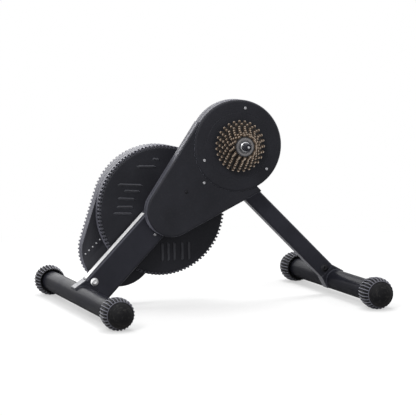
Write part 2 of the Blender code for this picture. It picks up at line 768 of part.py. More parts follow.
def make_covers(shell, steel, bright):
    screw_hole = SCREW_R + THREAD_ROOM
    on_belt = side_screw_spots() + [s for s in disc_screw_spots() if under_belt_cover(s)]
    holes = [circle(s, screw_hole, 12) for s in on_belt]
    build = cup(belt_cover_outline, COVER_WALL, BELT_FACE, PLATE_BACK, COVER_EDGE, holes)
    belt_cover = build.finish("belt_cover", shell)
    cut(belt_cover, beyond_mouth(DISC_FACE, 0.0, cover_mouth()), "belt_cover_mouth")

    holes = [circle(s, screw_hole, 12) for s in disc_screw_spots()]
    holes.append(circle(AXLE, DISC_HOLE_R))
    build = cup(disc_outline, COVER_WALL, DISC_FACE, PLATE_BACK + DISC_SKIRT, COVER_EDGE, holes)
    disc = build.finish("disc_cover", shell)
    room = Build()
    room.walls(belt_cover_room(), BELT_FACE - GAP, 2 * DISC_SKIRT)
    cut(disc, room, "disc_room")

    build = Build()
    outline = circles_hull(COVER_END, PLATE_END_R, AXLE, PLATE_R)
    holes = [circle(AXLE, NOSE_R + 2 * GAP, 24), circle(SHAFT, SHAFT_R + 2 * GAP, 16),
             circle(ARM_PIVOT, ARM_STUD_R + THREAD_ROOM, 12),
             circle(plate_screw_spot(), screw_hole, 12)]
    build.walls(outline, PLATE_FRONT, PLATE_BACK, holes)
    plate = build.finish("cover_back_plate", steel)
    posts = Build()
    for spot in side_screw_spots() + disc_screw_spots():
        inside = BELT_FACE_IN if spot in on_belt else DISC_FACE + COVER_WALL
        posts.walls(circle(spot, STANDOFF_R, 10), inside + GAP, PLATE_BACK - PLATE_T / 2)
    join(plate, posts, "standoffs")
    drill = pegs(side_screw_spots() + disc_screw_spots(), screw_hole, 2 * DISC_FACE, 0.0, 10)
    cut(plate, drill, "standoff_bores")

    names = ("belt_cover_screw_upper", "belt_cover_screw_lower",
             "disc_screw_top", "disc_screw_rear", "disc_screw_front")
    for name, spot in zip(names, side_screw_spots() + disc_screw_spots()):
        over_disc = (spot - AXLE).length < DISC_R
        face = DISC_FACE if over_disc else BELT_FACE
        screw = Build()
        screw.screw(across(spot, face - GAP), Vector((0, 1, 0)), SCREW_HEAD_R, SCREW_HEAD_T,
                    SCREW_R, SCREW_LENGTH)
        screw.finish(name, bright)


def belt_cover_room():
    """The belt cover's outline up to its mouth, and a little more, as seen from the drive side."""
    mouth = cover_mouth() + GAP
    whole = belt_cover_outline(-GAP)
    points = []
    for a, b in zip(whole, whole[1:] + whole[:1]):
        beyond_a, beyond_b = (a - AXLE) @ LINE - mouth, (b - AXLE) @ LINE - mouth
        if beyond_a <= 0:
            points.append(a)
        if beyond_a * beyond_b < 0:
            points.append(a.lerp(b, beyond_a / (beyond_a - beyond_b)))
    return points


def make_beam_screws(steel):
    """The screw that holds the back plate to the beam and the bolt that keeps the drum from turning."""
    build = Build()
    build.screw(across(plate_screw_spot(), PLATE_FRONT - GAP), Vector((0, 1, 0)), SCREW_HEAD_R,
                SCREW_HEAD_T, SCREW_R, -PLATE_FRONT - BEAM_T / 2 + BEAM_WALL)
    build.finish("plate_screw", steel)
    build = Build()
    build.screw(across(drum_bolt_spot(), DRUM_FLOOR + GAP), Vector((0, -1, 0)), BOLT_HEAD_R,
                BOLT_HEAD_T / 2, BOLT_R, SHELL_WALL + 2 * GAP + BEAM_WALL)
    build.finish("drum_bolt", steel)


def make_axle(steel, bright):
    build = Build()
    build.turn(AXLE, ((AXLE_BORE_R, AXLE_NEAR), (AXLE_R, AXLE_NEAR), (AXLE_R, AXLE_FAR + GAP),
                      (AXLE_CAP_R, AXLE_FAR + GAP), (AXLE_CAP_R, FAR_END), (AXLE_BORE_R, FAR_END)))
    build.finish("hollow_axle", steel)
    build = Build()
    build.tube(AXLE, AXLE_BORE_R, AXLE_CAP_R - 0.002, NEAR_END, NEAR_END + NEAR_CAP_T)
    build.finish("axle_cap", bright)


def make_hub(black, steel, spin):
    bore = BEARING_R + GAP
    rim = BIG_PITCH_R - BELT_T / 2 - GAP
    web = (PULLEY_BACK + PULLEY_FRONT) / 2
    build = Build()
    build.turn(AXLE, ((bore, HUB_BACK), (HUB_R, HUB_BACK), (HUB_R, web + WEB_T / 2),
                      (rim - RIM_T, web + WEB_T / 2), (rim - RIM_T, PULLEY_BACK),
                      (rim, PULLEY_BACK), (rim, PULLEY_FRONT), (rim - RIM_T, PULLEY_FRONT),
                      (rim - RIM_T, web - WEB_T / 2), (HUB_R, web - WEB_T / 2),
                      (HUB_R, HUB_FRONT), (bore, HUB_FRONT)), 36)
    build.finish("drive_pulley", black, spin)
    build = Build()
    build.tube(AXLE, AXLE_R + GAP, BEARING_R, HUB_BACK - GAP, HUB_FRONT + GAP)
    build.finish("hub_bearing", steel)
    build = Build()
    build.tube(AXLE, AXLE_R + GAP, FREEHUB_BORE_R - GAP, FREEHUB_FRONT,
               FREEHUB_FRONT + SMALL_BEARING_W)
    build.finish("freehub_bearing", steel)


def sprocket_outline(teeth):
    pitch_r = CHAIN_PITCH / (2 * math.sin(math.pi / teeth))
    points = []
    for i in range(teeth):
        for share, reach in ((-0.13, TOOTH_TIP), (0.13, TOOTH_TIP), (0.5, -TOOTH_ROOT)):
            points.append(AXLE + heading(math.tau * (i + share) / teeth) * (pitch_r + reach))
    return points


def make_cassette(steel, bronze, bright, coast):
    flange = FREEHUB_BACK - FREEHUB_FLANGE_T
    build = Build()
    build.turn(AXLE, ((FREEHUB_BORE_R, FREEHUB_BACK), (FREEHUB_FLANGE_R, FREEHUB_BACK),
                      (FREEHUB_FLANGE_R, flange), (FREEHUB_R, flange),
                      (FREEHUB_R, FREEHUB_FRONT), (FREEHUB_BORE_R, FREEHUB_FRONT)))
    build.finish("freehub_body", steel, coast)

    build = Build()
    build.tube(AXLE, FREEHUB_R + 2 * GAP, SPACER_R, FREEHUB_FRONT, flange - GAP, 18)
    cassette = build.finish("cassette", bronze, coast, 20.0)
    inside = circle(AXLE, (FREEHUB_R + SPACER_R) / 2, 12)
    sprockets = Build()
    for i, teeth in enumerate(SPROCKET_TEETH):
        near = FREEHUB_FRONT + SPROCKET_IN + i * SPROCKET_PITCH
        sprockets.walls(sprocket_outline(teeth), near, near + SPROCKET_T, [inside])
    join(cassette, sprockets, "sprockets")

    build = Build()
    far = FREEHUB_FRONT - GAP
    build.tube(AXLE, LOCKRING_BORE_R, LOCKRING_R, far - LOCKRING_T, far)
    build.finish("lockring", bright, coast)


def roller_pitch_r():
    return ROLLER_R + GAP + BELT_T / 2


def belt_wheels():
    return [(AXLE, BIG_PITCH_R, 1), (SHAFT, SMALL_PITCH_R, 1), (ROLLER, roller_pitch_r(), -1)]


def make_belt(rubber):
    build = Build()
    middle = (PULLEY_BACK + PULLEY_FRONT) / 2
    near, far = middle - BELT_W / 2, middle + BELT_W / 2
    inner = loop_outline(belt_wheels(), -BELT_T / 2)
    outer = loop_outline(belt_wheels(), BELT_T / 2)
    build.stack([[across(p, near) for p in inner], [across(p, near) for p in outer],
                 [across(p, far) for p in outer], [across(p, far) for p in inner]], closed=True)
    build.finish("drive_belt", rubber)


def make_idler(steel, black):
    """An arm on the back plate with two studs: one through the plate, one for the roller."""
    back = PLATE_FRONT - GAP
    front = back - ARM_T
    build = Build()
    build.walls(hull(circle(ROLLER, ARM_R, 20) + circle(ARM_PIVOT, ARM_R, 20)), front, back)
    arm = build.finish("idler_arm", steel)
    studs = Build()
    studs.walls(circle(ROLLER, ARM_STUD_R, 16), PULLEY_FRONT + ARM_STUD_IN, back - ARM_T / 2)
    studs.walls(circle(ARM_PIVOT, ARM_STUD_R, 16), back - ARM_T / 2, PLATE_BACK)
    join(arm, studs, "idler_studs")

    spin = pivot("idler_spin", across(ROLLER, PULLEY_BACK))
    build = Build()
    build.tube(ROLLER, ARM_STUD_R + THREAD_ROOM, ROLLER_R, PULLEY_BACK, PULLEY_FRONT, 24)
    build.finish("idler_roller", black, spin)


def lobe_corner(drum_r, lobe_r):
    """Where the drum's circle meets the lobe's, on the lower front side."""
    along = (drum_r ** 2 - lobe_r ** 2 + LOBE_REACH ** 2) / (2 * LOBE_REACH)
    return SHAFT + OUT * along + OUT_LEFT * math.sqrt(drum_r ** 2 - along ** 2)


def angle_of(v):
    return math.atan2(v.y, v.x)


def lobe_parts(inset=0.0):
    """The drum's arc, then the lobe's, of the outline with its straight rear flank between."""
    drum_r, lobe_r = DRUM_R - inset, LOBE_R - inset
    corner = lobe_corner(drum_r, lobe_r)
    flank = loop_legs([(SHAFT, drum_r, 1), (LOBE, lobe_r, 1)])[0]
    start = angle_of(corner - SHAFT)
    drum = arc(SHAFT, drum_r, start, start + (flank - start) % math.tau, 44)
    end = angle_of(corner - LOBE)
    lobe = arc(LOBE, lobe_r, flank, flank + (end - flank) % math.tau, 16)[:-1]
    return drum, lobe


def lobed_outline(inset=0.0):
    drum, lobe = lobe_parts(inset)
    return drum + lobe


def lobe_cover_outline():
    """The crescent of the lobed outline that the drum leaves open."""
    drum, lobe = lobe_parts()
    round_r = DRUM_R + LOBE_COVER_ROOM
    corner = lobe_corner(round_r, LOBE_R)
    flank = (lobe[0] - drum[-1]).normalized()
    top = drum[-1] + flank * math.sqrt(round_r ** 2 - DRUM_R ** 2)
    start, end = angle_of(corner - SHAFT), angle_of(top - SHAFT)
    inner = arc(SHAFT, round_r, start, start - (start - end) % math.tau, 24)
    kept = [p for p in lobe if (p - SHAFT).length > round_r + LOBE_COVER_ROOM]
    return kept + inner


def in_lobe(out, side):
    return SHAFT + OUT * out + OUT_LEFT * side


def drum_post_spots():
    return [SHAFT + heading(a) * (DRUM_R - POST_IN) for a in POST_TURNS]


def inlet_outline(shrink=0.0):
    spot = in_lobe(*INLET_SPOT)
    w, h = INLET_W / 2 - shrink, INLET_H / 2 - shrink
    return [spot + Vector(p) for p in ((-w, -h), (w, -h), (w, h), (-w, h))]


def make_housing(shell, bright):
    screw_hole = SCREW_R + THREAD_ROOM
    sleeve_r = SHAFT_BEARING_R + BEARING_SLEEVE_T
    holes = [circle(SHAFT, sleeve_r + GAP), circle(drum_bolt_spot(), BOLT_R + THREAD_ROOM, 12)]
    build = cup(lambda inset: circle(SHAFT, DRUM_R - inset, 60), SHELL_WALL, DRUM_FACE, DRUM_RIM,
                SHELL_EDGE, holes)
    drum = build.finish("drum_shell", shell)
    posts = pegs(drum_post_spots(), POST_R, DRUM_FLOOR - POST_SINK, FAR_FLOOR - GAP)
    join(drum, posts, "posts")
    cut(drum, pegs(drum_post_spots(), screw_hole, FAR_FLOOR - SCREW_LENGTH, FAR_FACE, 10), "post_bores")

    holes = [circle(s, screw_hole, 12) for s in drum_post_spots()]
    holes.append(inlet_outline(-GAP))
    build = cup(lobed_outline, SHELL_WALL, FAR_FACE, FAR_RIM, SHELL_EDGE, holes)
    far_shell = build.finish("far_shell", shell)
    bore = SHAFT_BEARING_R + GAP
    seat = Build()
    seat.tube(SHAFT, bore, bore + SEAT_WALL, SHAFT_FAR - SMALL_BEARING_W, FAR_FACE - SHELL_WALL / 2)
    join(far_shell, seat, "bearing_seat")

    build = Build()
    build.walls(lobe_cover_outline(), DRUM_RIM - LOBE_COVER_T, DRUM_RIM)
    build.finish("lobe_cover", shell)

    for name, spot in zip(("front", "top", "rear"), drum_post_spots()):
        screw = Build()
        screw.screw(across(spot, FAR_FACE + GAP), Vector((0, -1, 0)), SCREW_HEAD_R,
                    SCREW_HEAD_T, SCREW_R, SCREW_LENGTH)
        screw.finish("housing_screw_" + name, bright)


def make_flywheel(cast, steel, aluminium, black, spin):
    bore = SHAFT_R + GAP
    web = (FLYWHEEL_NEAR + FLYWHEEL_FAR) / 2
    near_web, far_web = web - FLYWHEEL_WEB / 2, web + FLYWHEEL_WEB / 2
    rim = FLYWHEEL_R - FLYWHEEL_RIM
    build = Build()
    build.turn(SHAFT, ((bore, FLYWHEEL_NEAR), (FLYWHEEL_HUB_R, FLYWHEEL_NEAR),
                       (FLYWHEEL_HUB_R, near_web), (rim, near_web), (rim, FLYWHEEL_NEAR),
                       (FLYWHEEL_R, FLYWHEEL_NEAR), (FLYWHEEL_R, FLYWHEEL_FAR),
                       (rim, FLYWHEEL_FAR), (rim, far_web), (FLYWHEEL_HUB_R, far_web),
                       (FLYWHEEL_HUB_R, FLYWHEEL_FAR), (bore, FLYWHEEL_FAR)), 40)
    build.finish("flywheel", cast, spin)
    build = Build()
    build.walls(circle(SHAFT, SHAFT_R, 20), SHAFT_NEAR, SHAFT_FAR)
    build.finish("flywheel_shaft", steel, spin)
    build = Build()
    hub_near = FLYWHEEL_FAR + GAP
    build.turn(SHAFT, ((bore, hub_near), (BRAKE_HUB_R, hub_near), (BRAKE_HUB_R, BRAKE_NEAR),
                       (BRAKE_DISC_R, BRAKE_NEAR), (BRAKE_DISC_R, BRAKE_FAR),
                       (bore, BRAKE_FAR)), 36)
    build.finish("brake_disc", aluminium, spin)
    build = Build()
    rim = SMALL_PITCH_R - BELT_T / 2 - GAP
    build.turn(SHAFT, ((bore, PULLEY_BACK), (rim, PULLEY_BACK), (rim, PULLEY_FRONT),
                       (bore, PULLEY_FRONT)), 24)
    build.finish("small_pulley", black, spin)


def make_shaft_bearings(steel):
    """One bearing in the beam's sleeve and one in the seat on the far shell's floor."""
    for name, near in (("near", PLATE_BACK + 2 * GAP), ("far", SHAFT_FAR - SMALL_BEARING_W)):
        build = Build()
        build.tube(SHAFT, SHAFT_R + GAP, SHAFT_BEARING_R, near, near + SMALL_BEARING_W, 24)
        build.finish("shaft_bearing_" + name, steel)


def along_lobe(build, profile, low, high):
    """A piece of constant section, in distance out and level, between two places across it."""
    build.stack([[across(in_lobe(out, side), level) for out, level in profile]
                 for side in (low, high)])


def make_brake(steel, aluminium, bright, black, slide, turn):
    near_in = BRAKE_NEAR - MAGNET_ROOM - MAGNET_T - GAP
    far_in = BRAKE_FAR + MAGNET_ROOM + MAGNET_T + GAP
    near_out, far_out = near_in - CARRIAGE_PLATE, far_in + CARRIAGE_PLATE
    bridge = BRAKE_DISC_R + CARRIAGE_ROOM
    back = bridge + CARRIAGE_BRIDGE
    build = Build()
    along_lobe(build, ((CARRIAGE_IN, near_out), (back, near_out), (back, far_out),
                       (CARRIAGE_IN, far_out), (CARRIAGE_IN, far_in), (bridge, far_in),
                       (bridge, near_in), (CARRIAGE_IN, near_in)), -CARRIAGE_HALF, CARRIAGE_HALF)
    carriage = build.finish("magnet_carriage", steel, slide)
    out = across(OUT, 0.0)
    drill = Build()
    hole = ROD_R + THREAD_ROOM
    for side in (-ROD_SIDE, 0.0, ROD_SIDE):
        drill.pin(across(in_lobe(bridge - GAP, side), BRAKE_MID), out,
                  ((hole, 0.0), (hole, CARRIAGE_BRIDGE + 2 * GAP)))
    cut(carriage, drill, "carriage_holes")

    for name, level in (("near", near_in + GAP), ("far", BRAKE_FAR + MAGNET_ROOM)):
        build = Build()
        low, high = MAGNET_OUT - MAGNET_W / 2, MAGNET_OUT + MAGNET_W / 2
        along_lobe(build, ((low, level), (high, level), (high, level + MAGNET_T),
                           (low, level + MAGNET_T)), -MAGNET_LENGTH / 2, MAGNET_LENGTH / 2)
        build.finish("magnets_" + name, bright, slide)

    build = Build()
    along_lobe(build, ((MOUNT_OUT, near_out), (MOUNT_OUT + MOUNT_T, near_out),
                       (MOUNT_OUT + MOUNT_T, FAR_FLOOR - GAP), (MOUNT_OUT, FAR_FLOOR - GAP)),
               -MOUNT_HALF, MOUNT_HALF)
    mount = build.finish("brake_mount", aluminium)
    rod_near = bridge + GAP
    rods = Build()
    for side in (-ROD_SIDE, ROD_SIDE):
        rods.pin(across(in_lobe(rod_near, side), BRAKE_MID), out,
                 ((ROD_R, 0.0), (ROD_R, MOUNT_OUT + MOUNT_T / 2 - rod_near)))
    join(mount, rods, "guide_rods")
    drill = Build()
    drill.pin(across(in_lobe(MOUNT_OUT - MOUNT_T, 0.0), BRAKE_MID), out,
              ((hole, 0.0), (hole, 3 * MOUNT_T)))
    cut(mount, drill, "mount_hole")

    build = Build()
    build.pin(across(in_lobe(rod_near, 0.0), BRAKE_MID), out,
              ((ROD_R, 0.0), (ROD_R, MOUNT_OUT + MOUNT_T - rod_near)))
    build.finish("lead_screw", bright, turn)
    build = Build()
    motor = in_lobe(MOUNT_OUT + MOUNT_T + GAP, 0.0)
    build.pin(across(motor, BRAKE_MID), out, ((MOTOR_R, 0.0), (MOTOR_R, MOTOR_LENGTH)), 20)
    build.finish("brake_motor", black)


def make_electrics(green, black):
    low, high, left, right = BOARD_BOX
    build = Build()
    build.walls([in_lobe(low, left), in_lobe(high, left), in_lobe(high, right),
                 in_lobe(low, right)], FAR_FLOOR - GAP - BOARD_T, FAR_FLOOR - GAP)
    build.finish("circuit_board", green)

    build = Build()
    mouth = FAR_FACE + INLET_PROUD
    floor = mouth - INLET_DEPTH
    back = floor - INLET_FLOOR
    build.stack([[across(p, level) for p in inlet_outline(shrink)] for shrink, level in (
        (INLET_WALL, floor), (INLET_WALL, mouth), (0.0, mouth), (0.0, back))])
    build.finish("power_inlet", black)


def make_skewer(bright, black, lever_turn, nut_slide):
    """The rod through the axle, its nut on the drive side and its cam lever on the far side."""
    nut_far = NEAR_END - DROPOUT_SLOT
    nut_near = nut_far - NUT_T
    base_near = FAR_END + DROPOUT_SLOT
    base_far = base_near + LEVER_BASE_T
    cam = base_far + GAP + LEVER_EYE_R
    up = heading(LEVER_TURN)
    side = turned_left(up)

    build = Build()
    rod_near = nut_near - SKEWER_TIP
    build.pin(across(AXLE, rod_near), Vector((0, 1, 0)),
              ((SKEWER_R, 0.0), (SKEWER_R, cam - rod_near)), 16)
    rod = build.finish("skewer_rod", bright)
    barrel = Build()
    start = AXLE - side * LEVER_HALF
    barrel.pin(across(start, cam), across(side, 0.0), ((CAM_R, 0.0), (CAM_R, 2 * LEVER_HALF)), 16)
    join(rod, barrel, "skewer_barrel")

    bore = SKEWER_R + THREAD_ROOM
    build = Build()
    build.turn(AXLE, ((bore, nut_far), (NUT_R, nut_far), (NUT_R, nut_far - NUT_T / 3),
                      (NUT_R * 0.75, nut_near), (bore, nut_near)), 24)
    build.finish("skewer_nut", black, nut_slide)
    build = Build()
    build.turn(AXLE, ((bore, base_near), (LEVER_BASE_R, base_near), (LEVER_BASE_R, base_far),
                      (bore, base_far)), 24)
    build.finish("lever_base", black)

    build = Build()
    eye = arc(Vector((0, 0)), LEVER_EYE_R, math.pi * 0.7, math.pi * 1.8, 14)
    arm = [Vector((LEVER_LENGTH * 0.4, -LEVER_EYE_R * 0.55)),
           Vector((LEVER_LENGTH * 0.8, -LEVER_EYE_R * 0.75)),
           Vector((LEVER_LENGTH, -LEVER_TIP_HALF * 2)),
           Vector((LEVER_LENGTH, 0.0)),
           Vector((LEVER_LENGTH * 0.8, 0.0)),
           Vector((LEVER_LENGTH * 0.4, LEVER_TIP_HALF))]
    rings = []
    for place in (-LEVER_HALF, LEVER_HALF):
        rings.append([across(AXLE + up * p.x + side * place, cam + p.y) for p in eye + arm])
    build.stack(rings)
    lever = build.finish("skewer_lever", bright, lever_turn)
    slot = Build()
    block = ((-2, -2), (1.25, -2), (1.25, 2), (-2, 2))
    slot.stack([[across(AXLE + up * a * LEVER_EYE_R + side * place, cam + b * LEVER_EYE_R)
                 for a, b in block] for place in (-LEVER_SLOT_HALF, LEVER_SLOT_HALF)])
    cut(lever, slot, "lever_slot")
    eye_hole = Build()
    eye_hole.pin(across(AXLE - side * 2 * LEVER_HALF, cam), across(side, 0.0),
                 ((CAM_R + GAP, 0.0), (CAM_R + GAP, 4 * LEVER_HALF)), 16)
    cut(lever, eye_hole, "lever_eye")


def main():
    for old in list(bpy.data.objects):
        bpy.data.objects.remove(old)
    paint = finish_of("black_paint", (0.025, 0.027, 0.032), 0.35, 0.0)
    shell = finish_of("black_plastic", (0.030, 0.031, 0.034), 0.5, 0.0)
    rubber = finish_of("black_rubber", (0.020, 0.020, 0.021), 0.7, 0.0)
    steel = finish_of("dark_steel", (0.25, 0.25, 0.26), 0.4, 1.0)
    bright = finish_of("bright_steel", (0.75, 0.75, 0.76), 0.25, 1.0)
    bronze = finish_of("bronze_steel", (0.42, 0.30, 0.20), 0.35, 1.0)
    aluminium = finish_of("aluminium", (0.60, 0.61, 0.62), 0.35, 1.0)
    cast = finish_of("cast_iron", (0.12, 0.12, 0.13), 0.55, 1.0)
    green = finish_of("circuit_green", (0.03, 0.16, 0.08), 0.5, 0.0)

    make_beam(paint)
    make_sleeves(steel)
    make_hinge(paint, steel, shell)
    spot = cross_bolt_spot(BEAM_TAIL, BEAM_UP, BEAM_LEFT, CROSS_BOLT_UP)
    make_stabiliser("rear", REAR_TUBE, REAR_WIDTH, BEAM_UP, BEAM_LEFT, BEAM_END, -BEAM_LOW,
                    BEAM_W, BEAM_T, BEAM_WALL, spot, paint, bright, rubber)
    make_leg(paint, bright, rubber)
    make_covers(shell, steel, bright)
    make_beam_screws(steel)
    make_axle(steel, bright)
    hub_spin = pivot("hub_spin", across(AXLE, PULLEY_BACK))
    make_hub(shell, steel, hub_spin)
    make_cassette(steel, bronze, bright, pivot("freehub_spin", across(AXLE, FREEHUB_BACK)))
    make_belt(rubber)
    make_idler(steel, shell)
    make_housing(shell, bright)
    make_flywheel(cast, steel, aluminium, steel, pivot("flywheel_spin", across(SHAFT, 0.0)))
    make_shaft_bearings(steel)
    make_brake(steel, aluminium, bright, shell,
               pivot("carriage_slide", across(in_lobe(CARRIAGE_IN, 0.0), BRAKE_MID)),
               pivot("lead_screw_turn", across(in_lobe(MOUNT_OUT, 0.0), BRAKE_MID)))
    make_electrics(green, shell)
    cam = FAR_END + DROPOUT_SLOT + LEVER_BASE_T + GAP + LEVER_EYE_R
    make_skewer(bright, shell, pivot("lever_swing", across(AXLE, cam)),
                pivot("nut_slide", across(AXLE, NEAR_END - DROPOUT_SLOT)))


main()
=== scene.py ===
"""A direct-drive bike trainer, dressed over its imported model, in metres.

x points forward along the bicycle, y away from the drive side and z up. An outline is a list of
2-D vectors in the x-z plane, and a level is a place along y.
"""

from math import asin, atan2, cos, pi, radians, sin, sqrt, tau

import bmesh
import bpy
from mathutils import Matrix, Vector


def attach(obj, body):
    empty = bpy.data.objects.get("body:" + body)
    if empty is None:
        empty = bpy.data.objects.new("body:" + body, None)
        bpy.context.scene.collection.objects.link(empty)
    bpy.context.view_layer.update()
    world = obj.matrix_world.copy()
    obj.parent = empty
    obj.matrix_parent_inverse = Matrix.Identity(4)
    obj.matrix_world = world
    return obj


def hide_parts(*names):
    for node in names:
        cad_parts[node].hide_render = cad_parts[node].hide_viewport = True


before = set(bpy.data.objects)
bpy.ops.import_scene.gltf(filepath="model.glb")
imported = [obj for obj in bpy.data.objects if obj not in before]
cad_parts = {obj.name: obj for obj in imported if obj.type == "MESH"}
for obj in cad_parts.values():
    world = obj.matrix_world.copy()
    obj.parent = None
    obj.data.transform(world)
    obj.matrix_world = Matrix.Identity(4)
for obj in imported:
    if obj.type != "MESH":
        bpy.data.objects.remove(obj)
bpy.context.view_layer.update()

GAP = 0.0003

# Stance, axle, beam and leg
TUBE_Z = 0.0344
TUBE_R = 0.023
FOOT_R = 0.035
FOOT_LENGTH = 0.036
FOOT_DOME = 0.034
FOOT_RIBS = 28
FOOT_RING = 36.5            # degrees up the dome to its raised ring
REAR_HALF = 0.307           # to where the rear feet start to round off
FRONT_HALF = 0.265
TUBE_SHORT = 0.006          # how far short of that place a tube ends, inside its feet
REAR_TUBE = Vector((-0.2985, TUBE_Z))
FRONT_TUBE = Vector((0.2985, TUBE_Z))
AXLE = Vector((0.0565, 0.355))
BEAM_W, BEAM_T, BEAM_EDGE = 0.068, 0.038, 0.006
# The beam's middle line passes above the axle and below the rear tube, and ends short of it.
BEAM_HIGH, BEAM_LOW, BEAM_END = 0.0117, 0.0127, 0.0316
LEG_W, LEG_T, LEG_EDGE, LEG_END = 0.038, 0.032, 0.005, 0.0316
SADDLE_T = 0.005

# Drive and covers
BELT_CENTRES = 0.2135
CHAMFER = 0.0006            # along the rims of mouldings
COVER_END_R, COVER_END_IN = 0.058, 0.006
COVER_BIG_R, COVER_SHIFT = 0.1122, 0.0059
COVER_WALL = 0.0025
COVER_ROUND, DISC_ROUND = 0.0046, 0.0062
SEAM_NEAR, SEAM_FAR, SEAM_DEPTH = -0.0352, -0.0332, 0.0014      # round the walls of both covers
DISC_R, DISC_HOLE_R = 0.1026, 0.025
PLATE_BACK, BELT_FACE, DISC_FACE = -0.0229, -0.0519, -0.0559
DISC_BACK = -0.0159
SCREW_HEAD_R, SCREW_HEAD_T = 0.0033, 0.0016

# Sprockets
FREEHUB_FRONT, FREEHUB_BACK = -0.1026, -0.0516
SPACER_R = 0.0205
SPROCKET_TEETH = (12, 13, 14, 15, 17, 19, 21, 24, 27)
SPROCKET_T, SPROCKET_PITCH = 0.0018, 0.004
CHAIN_PITCH = 0.0127
LOCKRING_R = 0.019
NEAR_END, FAR_END = -0.1082, 0.0218
AXLE_BORE = 0.0029

# Housing
SHELL_WALL = 0.003
DRUM_FACE, DRUM_RIM, FAR_RIM, FAR_FACE = 0.0193, 0.05, 0.0503, 0.089
LOBE_R, LOBE_REACH, LOBE_TURN = 0.084, 0.128, radians(222)
POST_TURNS = [radians(a) for a in (-40, 80, 188)]
RIB_PITCH, RIB_DEPTH = 0.0087, 0.005
NEAR_RIBS, FAR_RIBS = 0.0125, 0.011        # how far the ribs reach along the rims

# Skewer and hinge
NUT_R, NUT_T = 0.0095, 0.012
NUT_FAR = -0.1155
LEVER_BASE_R = 0.0105
LEVER_PIVOT = 0.0433
SKEWER_BORE = 0.0028
HINGE_FACE = 0.0196


def across(point, level):
    return Vector((point[0], level, point[1]))


def turned_left(v):
    return Vector((-v.y, v.x))


def heading(angle):
    return Vector((cos(angle), sin(angle)))


def angle_of(v):
    return atan2(v.y, v.x)


def turns(steps):
    """The angles of so many even steps round a circle."""
    return [tau * i / steps for i in range(steps)]


def circle(centre, radius, steps=96):
    return [centre + heading(a) * radius for a in turns(steps)]


def arc(centre, radius, start, end, steps):
    return [centre + heading(start + (end - start) * i / steps) * radius for i in range(steps + 1)]


rise = AXLE - REAR_TUBE
BEAM_UP = heading(angle_of(rise) + asin((BEAM_HIGH + BEAM_LOW) / rise.length))
BEAM_LEFT = turned_left(BEAM_UP)
HEAD = AXLE + BEAM_LEFT * BEAM_HIGH
BEAM_TAIL = REAR_TUBE - BEAM_LEFT * BEAM_LOW + BEAM_UP * BEAM_END
SHAFT = HEAD - BEAM_UP * sqrt(BELT_CENTRES ** 2 - BEAM_HIGH ** 2)
HINGE = HEAD - BEAM_UP * 0.049 - BEAM_LEFT * (BEAM_W / 2 + LEG_W / 2 + 0.0015)
LEG_DOWN = (FRONT_TUBE - HINGE).normalized()
LEG_TAIL = FRONT_TUBE - LEG_DOWN * LEG_END
DRUM_R = (HINGE - SHAFT).length - 0.02675
LINE = (AXLE - SHAFT).normalized()
LINE_LEFT = turned_left(LINE)
COVER_END = SHAFT + LINE * COVER_END_IN
COVER_BIG = AXLE - LINE_LEFT * COVER_SHIFT
DISC_SCREWS = [AXLE + heading(radians(a)) * 0.085 for a in (77.6, 199.9, 320.0)]
BELT_SCREWS = [AXLE - LINE * back + LINE_LEFT * up
    for back, up in ((0.1128, -0.0053), (0.156, 0.0091))]
OUT = heading(LOBE_TURN)
OUT_LEFT = turned_left(OUT)
LOBE = SHAFT + OUT * LOBE_REACH


def belt_cover_outline(inset=0.0):
    """Round the cover's big end and its small end, anticlockwise."""
    reach = COVER_BIG - COVER_END
    lean = asin((COVER_END_R - COVER_BIG_R) / reach.length)
    out, back = angle_of(reach) + lean - pi / 2, angle_of(reach) - lean + pi / 2
    return (arc(COVER_BIG, COVER_BIG_R - inset, out, out + (back - out) % tau, 80) + arc(COVER_END,
        COVER_END_R - inset, back, back + (out - back) % tau, 40))


def lobe_corner(drum_r, lobe_r):
    """Where the drum's circle meets the lobe's, in front."""
    along = (drum_r ** 2 - lobe_r ** 2 + LOBE_REACH ** 2) / (2 * LOBE_REACH)
    return SHAFT + OUT * along + OUT_LEFT * sqrt(drum_r ** 2 - along ** 2)


def lobed_outline(inset=0.0):
    """The drum's arc, a straight rear flank and the lobe's arc."""
    drum_r, lobe_r = DRUM_R - inset, LOBE_R - inset
    corner = lobe_corner(drum_r, lobe_r)
    flank = angle_of(LOBE - SHAFT) + asin((drum_r - lobe_r) / LOBE_REACH) - pi / 2
    start, end = angle_of(corner - SHAFT), angle_of(corner - LOBE)
    drum = arc(SHAFT, drum_r, start, start + (flank - start) % tau, 120)
    return drum + arc(LOBE, lobe_r, flank, flank + (end - flank) % tau, 44)[:-1]


def rounding(edge, steps=5):
    """(inset, depth) pairs from a wall over a rounded edge on to a face."""
    quarter = [pi / 2 * i / steps for i in range(steps + 1)]
    return [(edge * (1 - cos(a)), edge * (1 - sin(a))) for a in quarter]


class Value:
    """A number, colour, direction or shape inside a node tree. Numbers take part in sums."""

    def __init__(self, net, socket):
        self.net, self.socket = net, socket

    def sum_of(self, operation, *values):
        return self.net.add("ShaderNodeMath", {"operation": operation}, *values)

    def __add__(self, other):
        return self.sum_of("ADD", self, other)

    def __sub__(self, other):
        return self.sum_of("SUBTRACT", self, other)

    def __rsub__(self, other):
        return self.sum_of("SUBTRACT", other, self)

    def __mul__(self, other):
        return self.sum_of("MULTIPLY", self, other)

    def __truediv__(self, other):
        return self.sum_of("DIVIDE", self, other)

    __radd__ = __add__
    __rmul__ = __mul__

    def rising(self, low, high, start=0.0, end=1.0):
        """Start below low, end above high, and smooth between."""
        return self.net.add("ShaderNodeMapRange", {"interpolation_type": "SMOOTHSTEP"}, self, low,
            high, start, end)


def set_up(thing, **settings):
    for setting, value in settings.items():
        setattr(thing, setting, value)


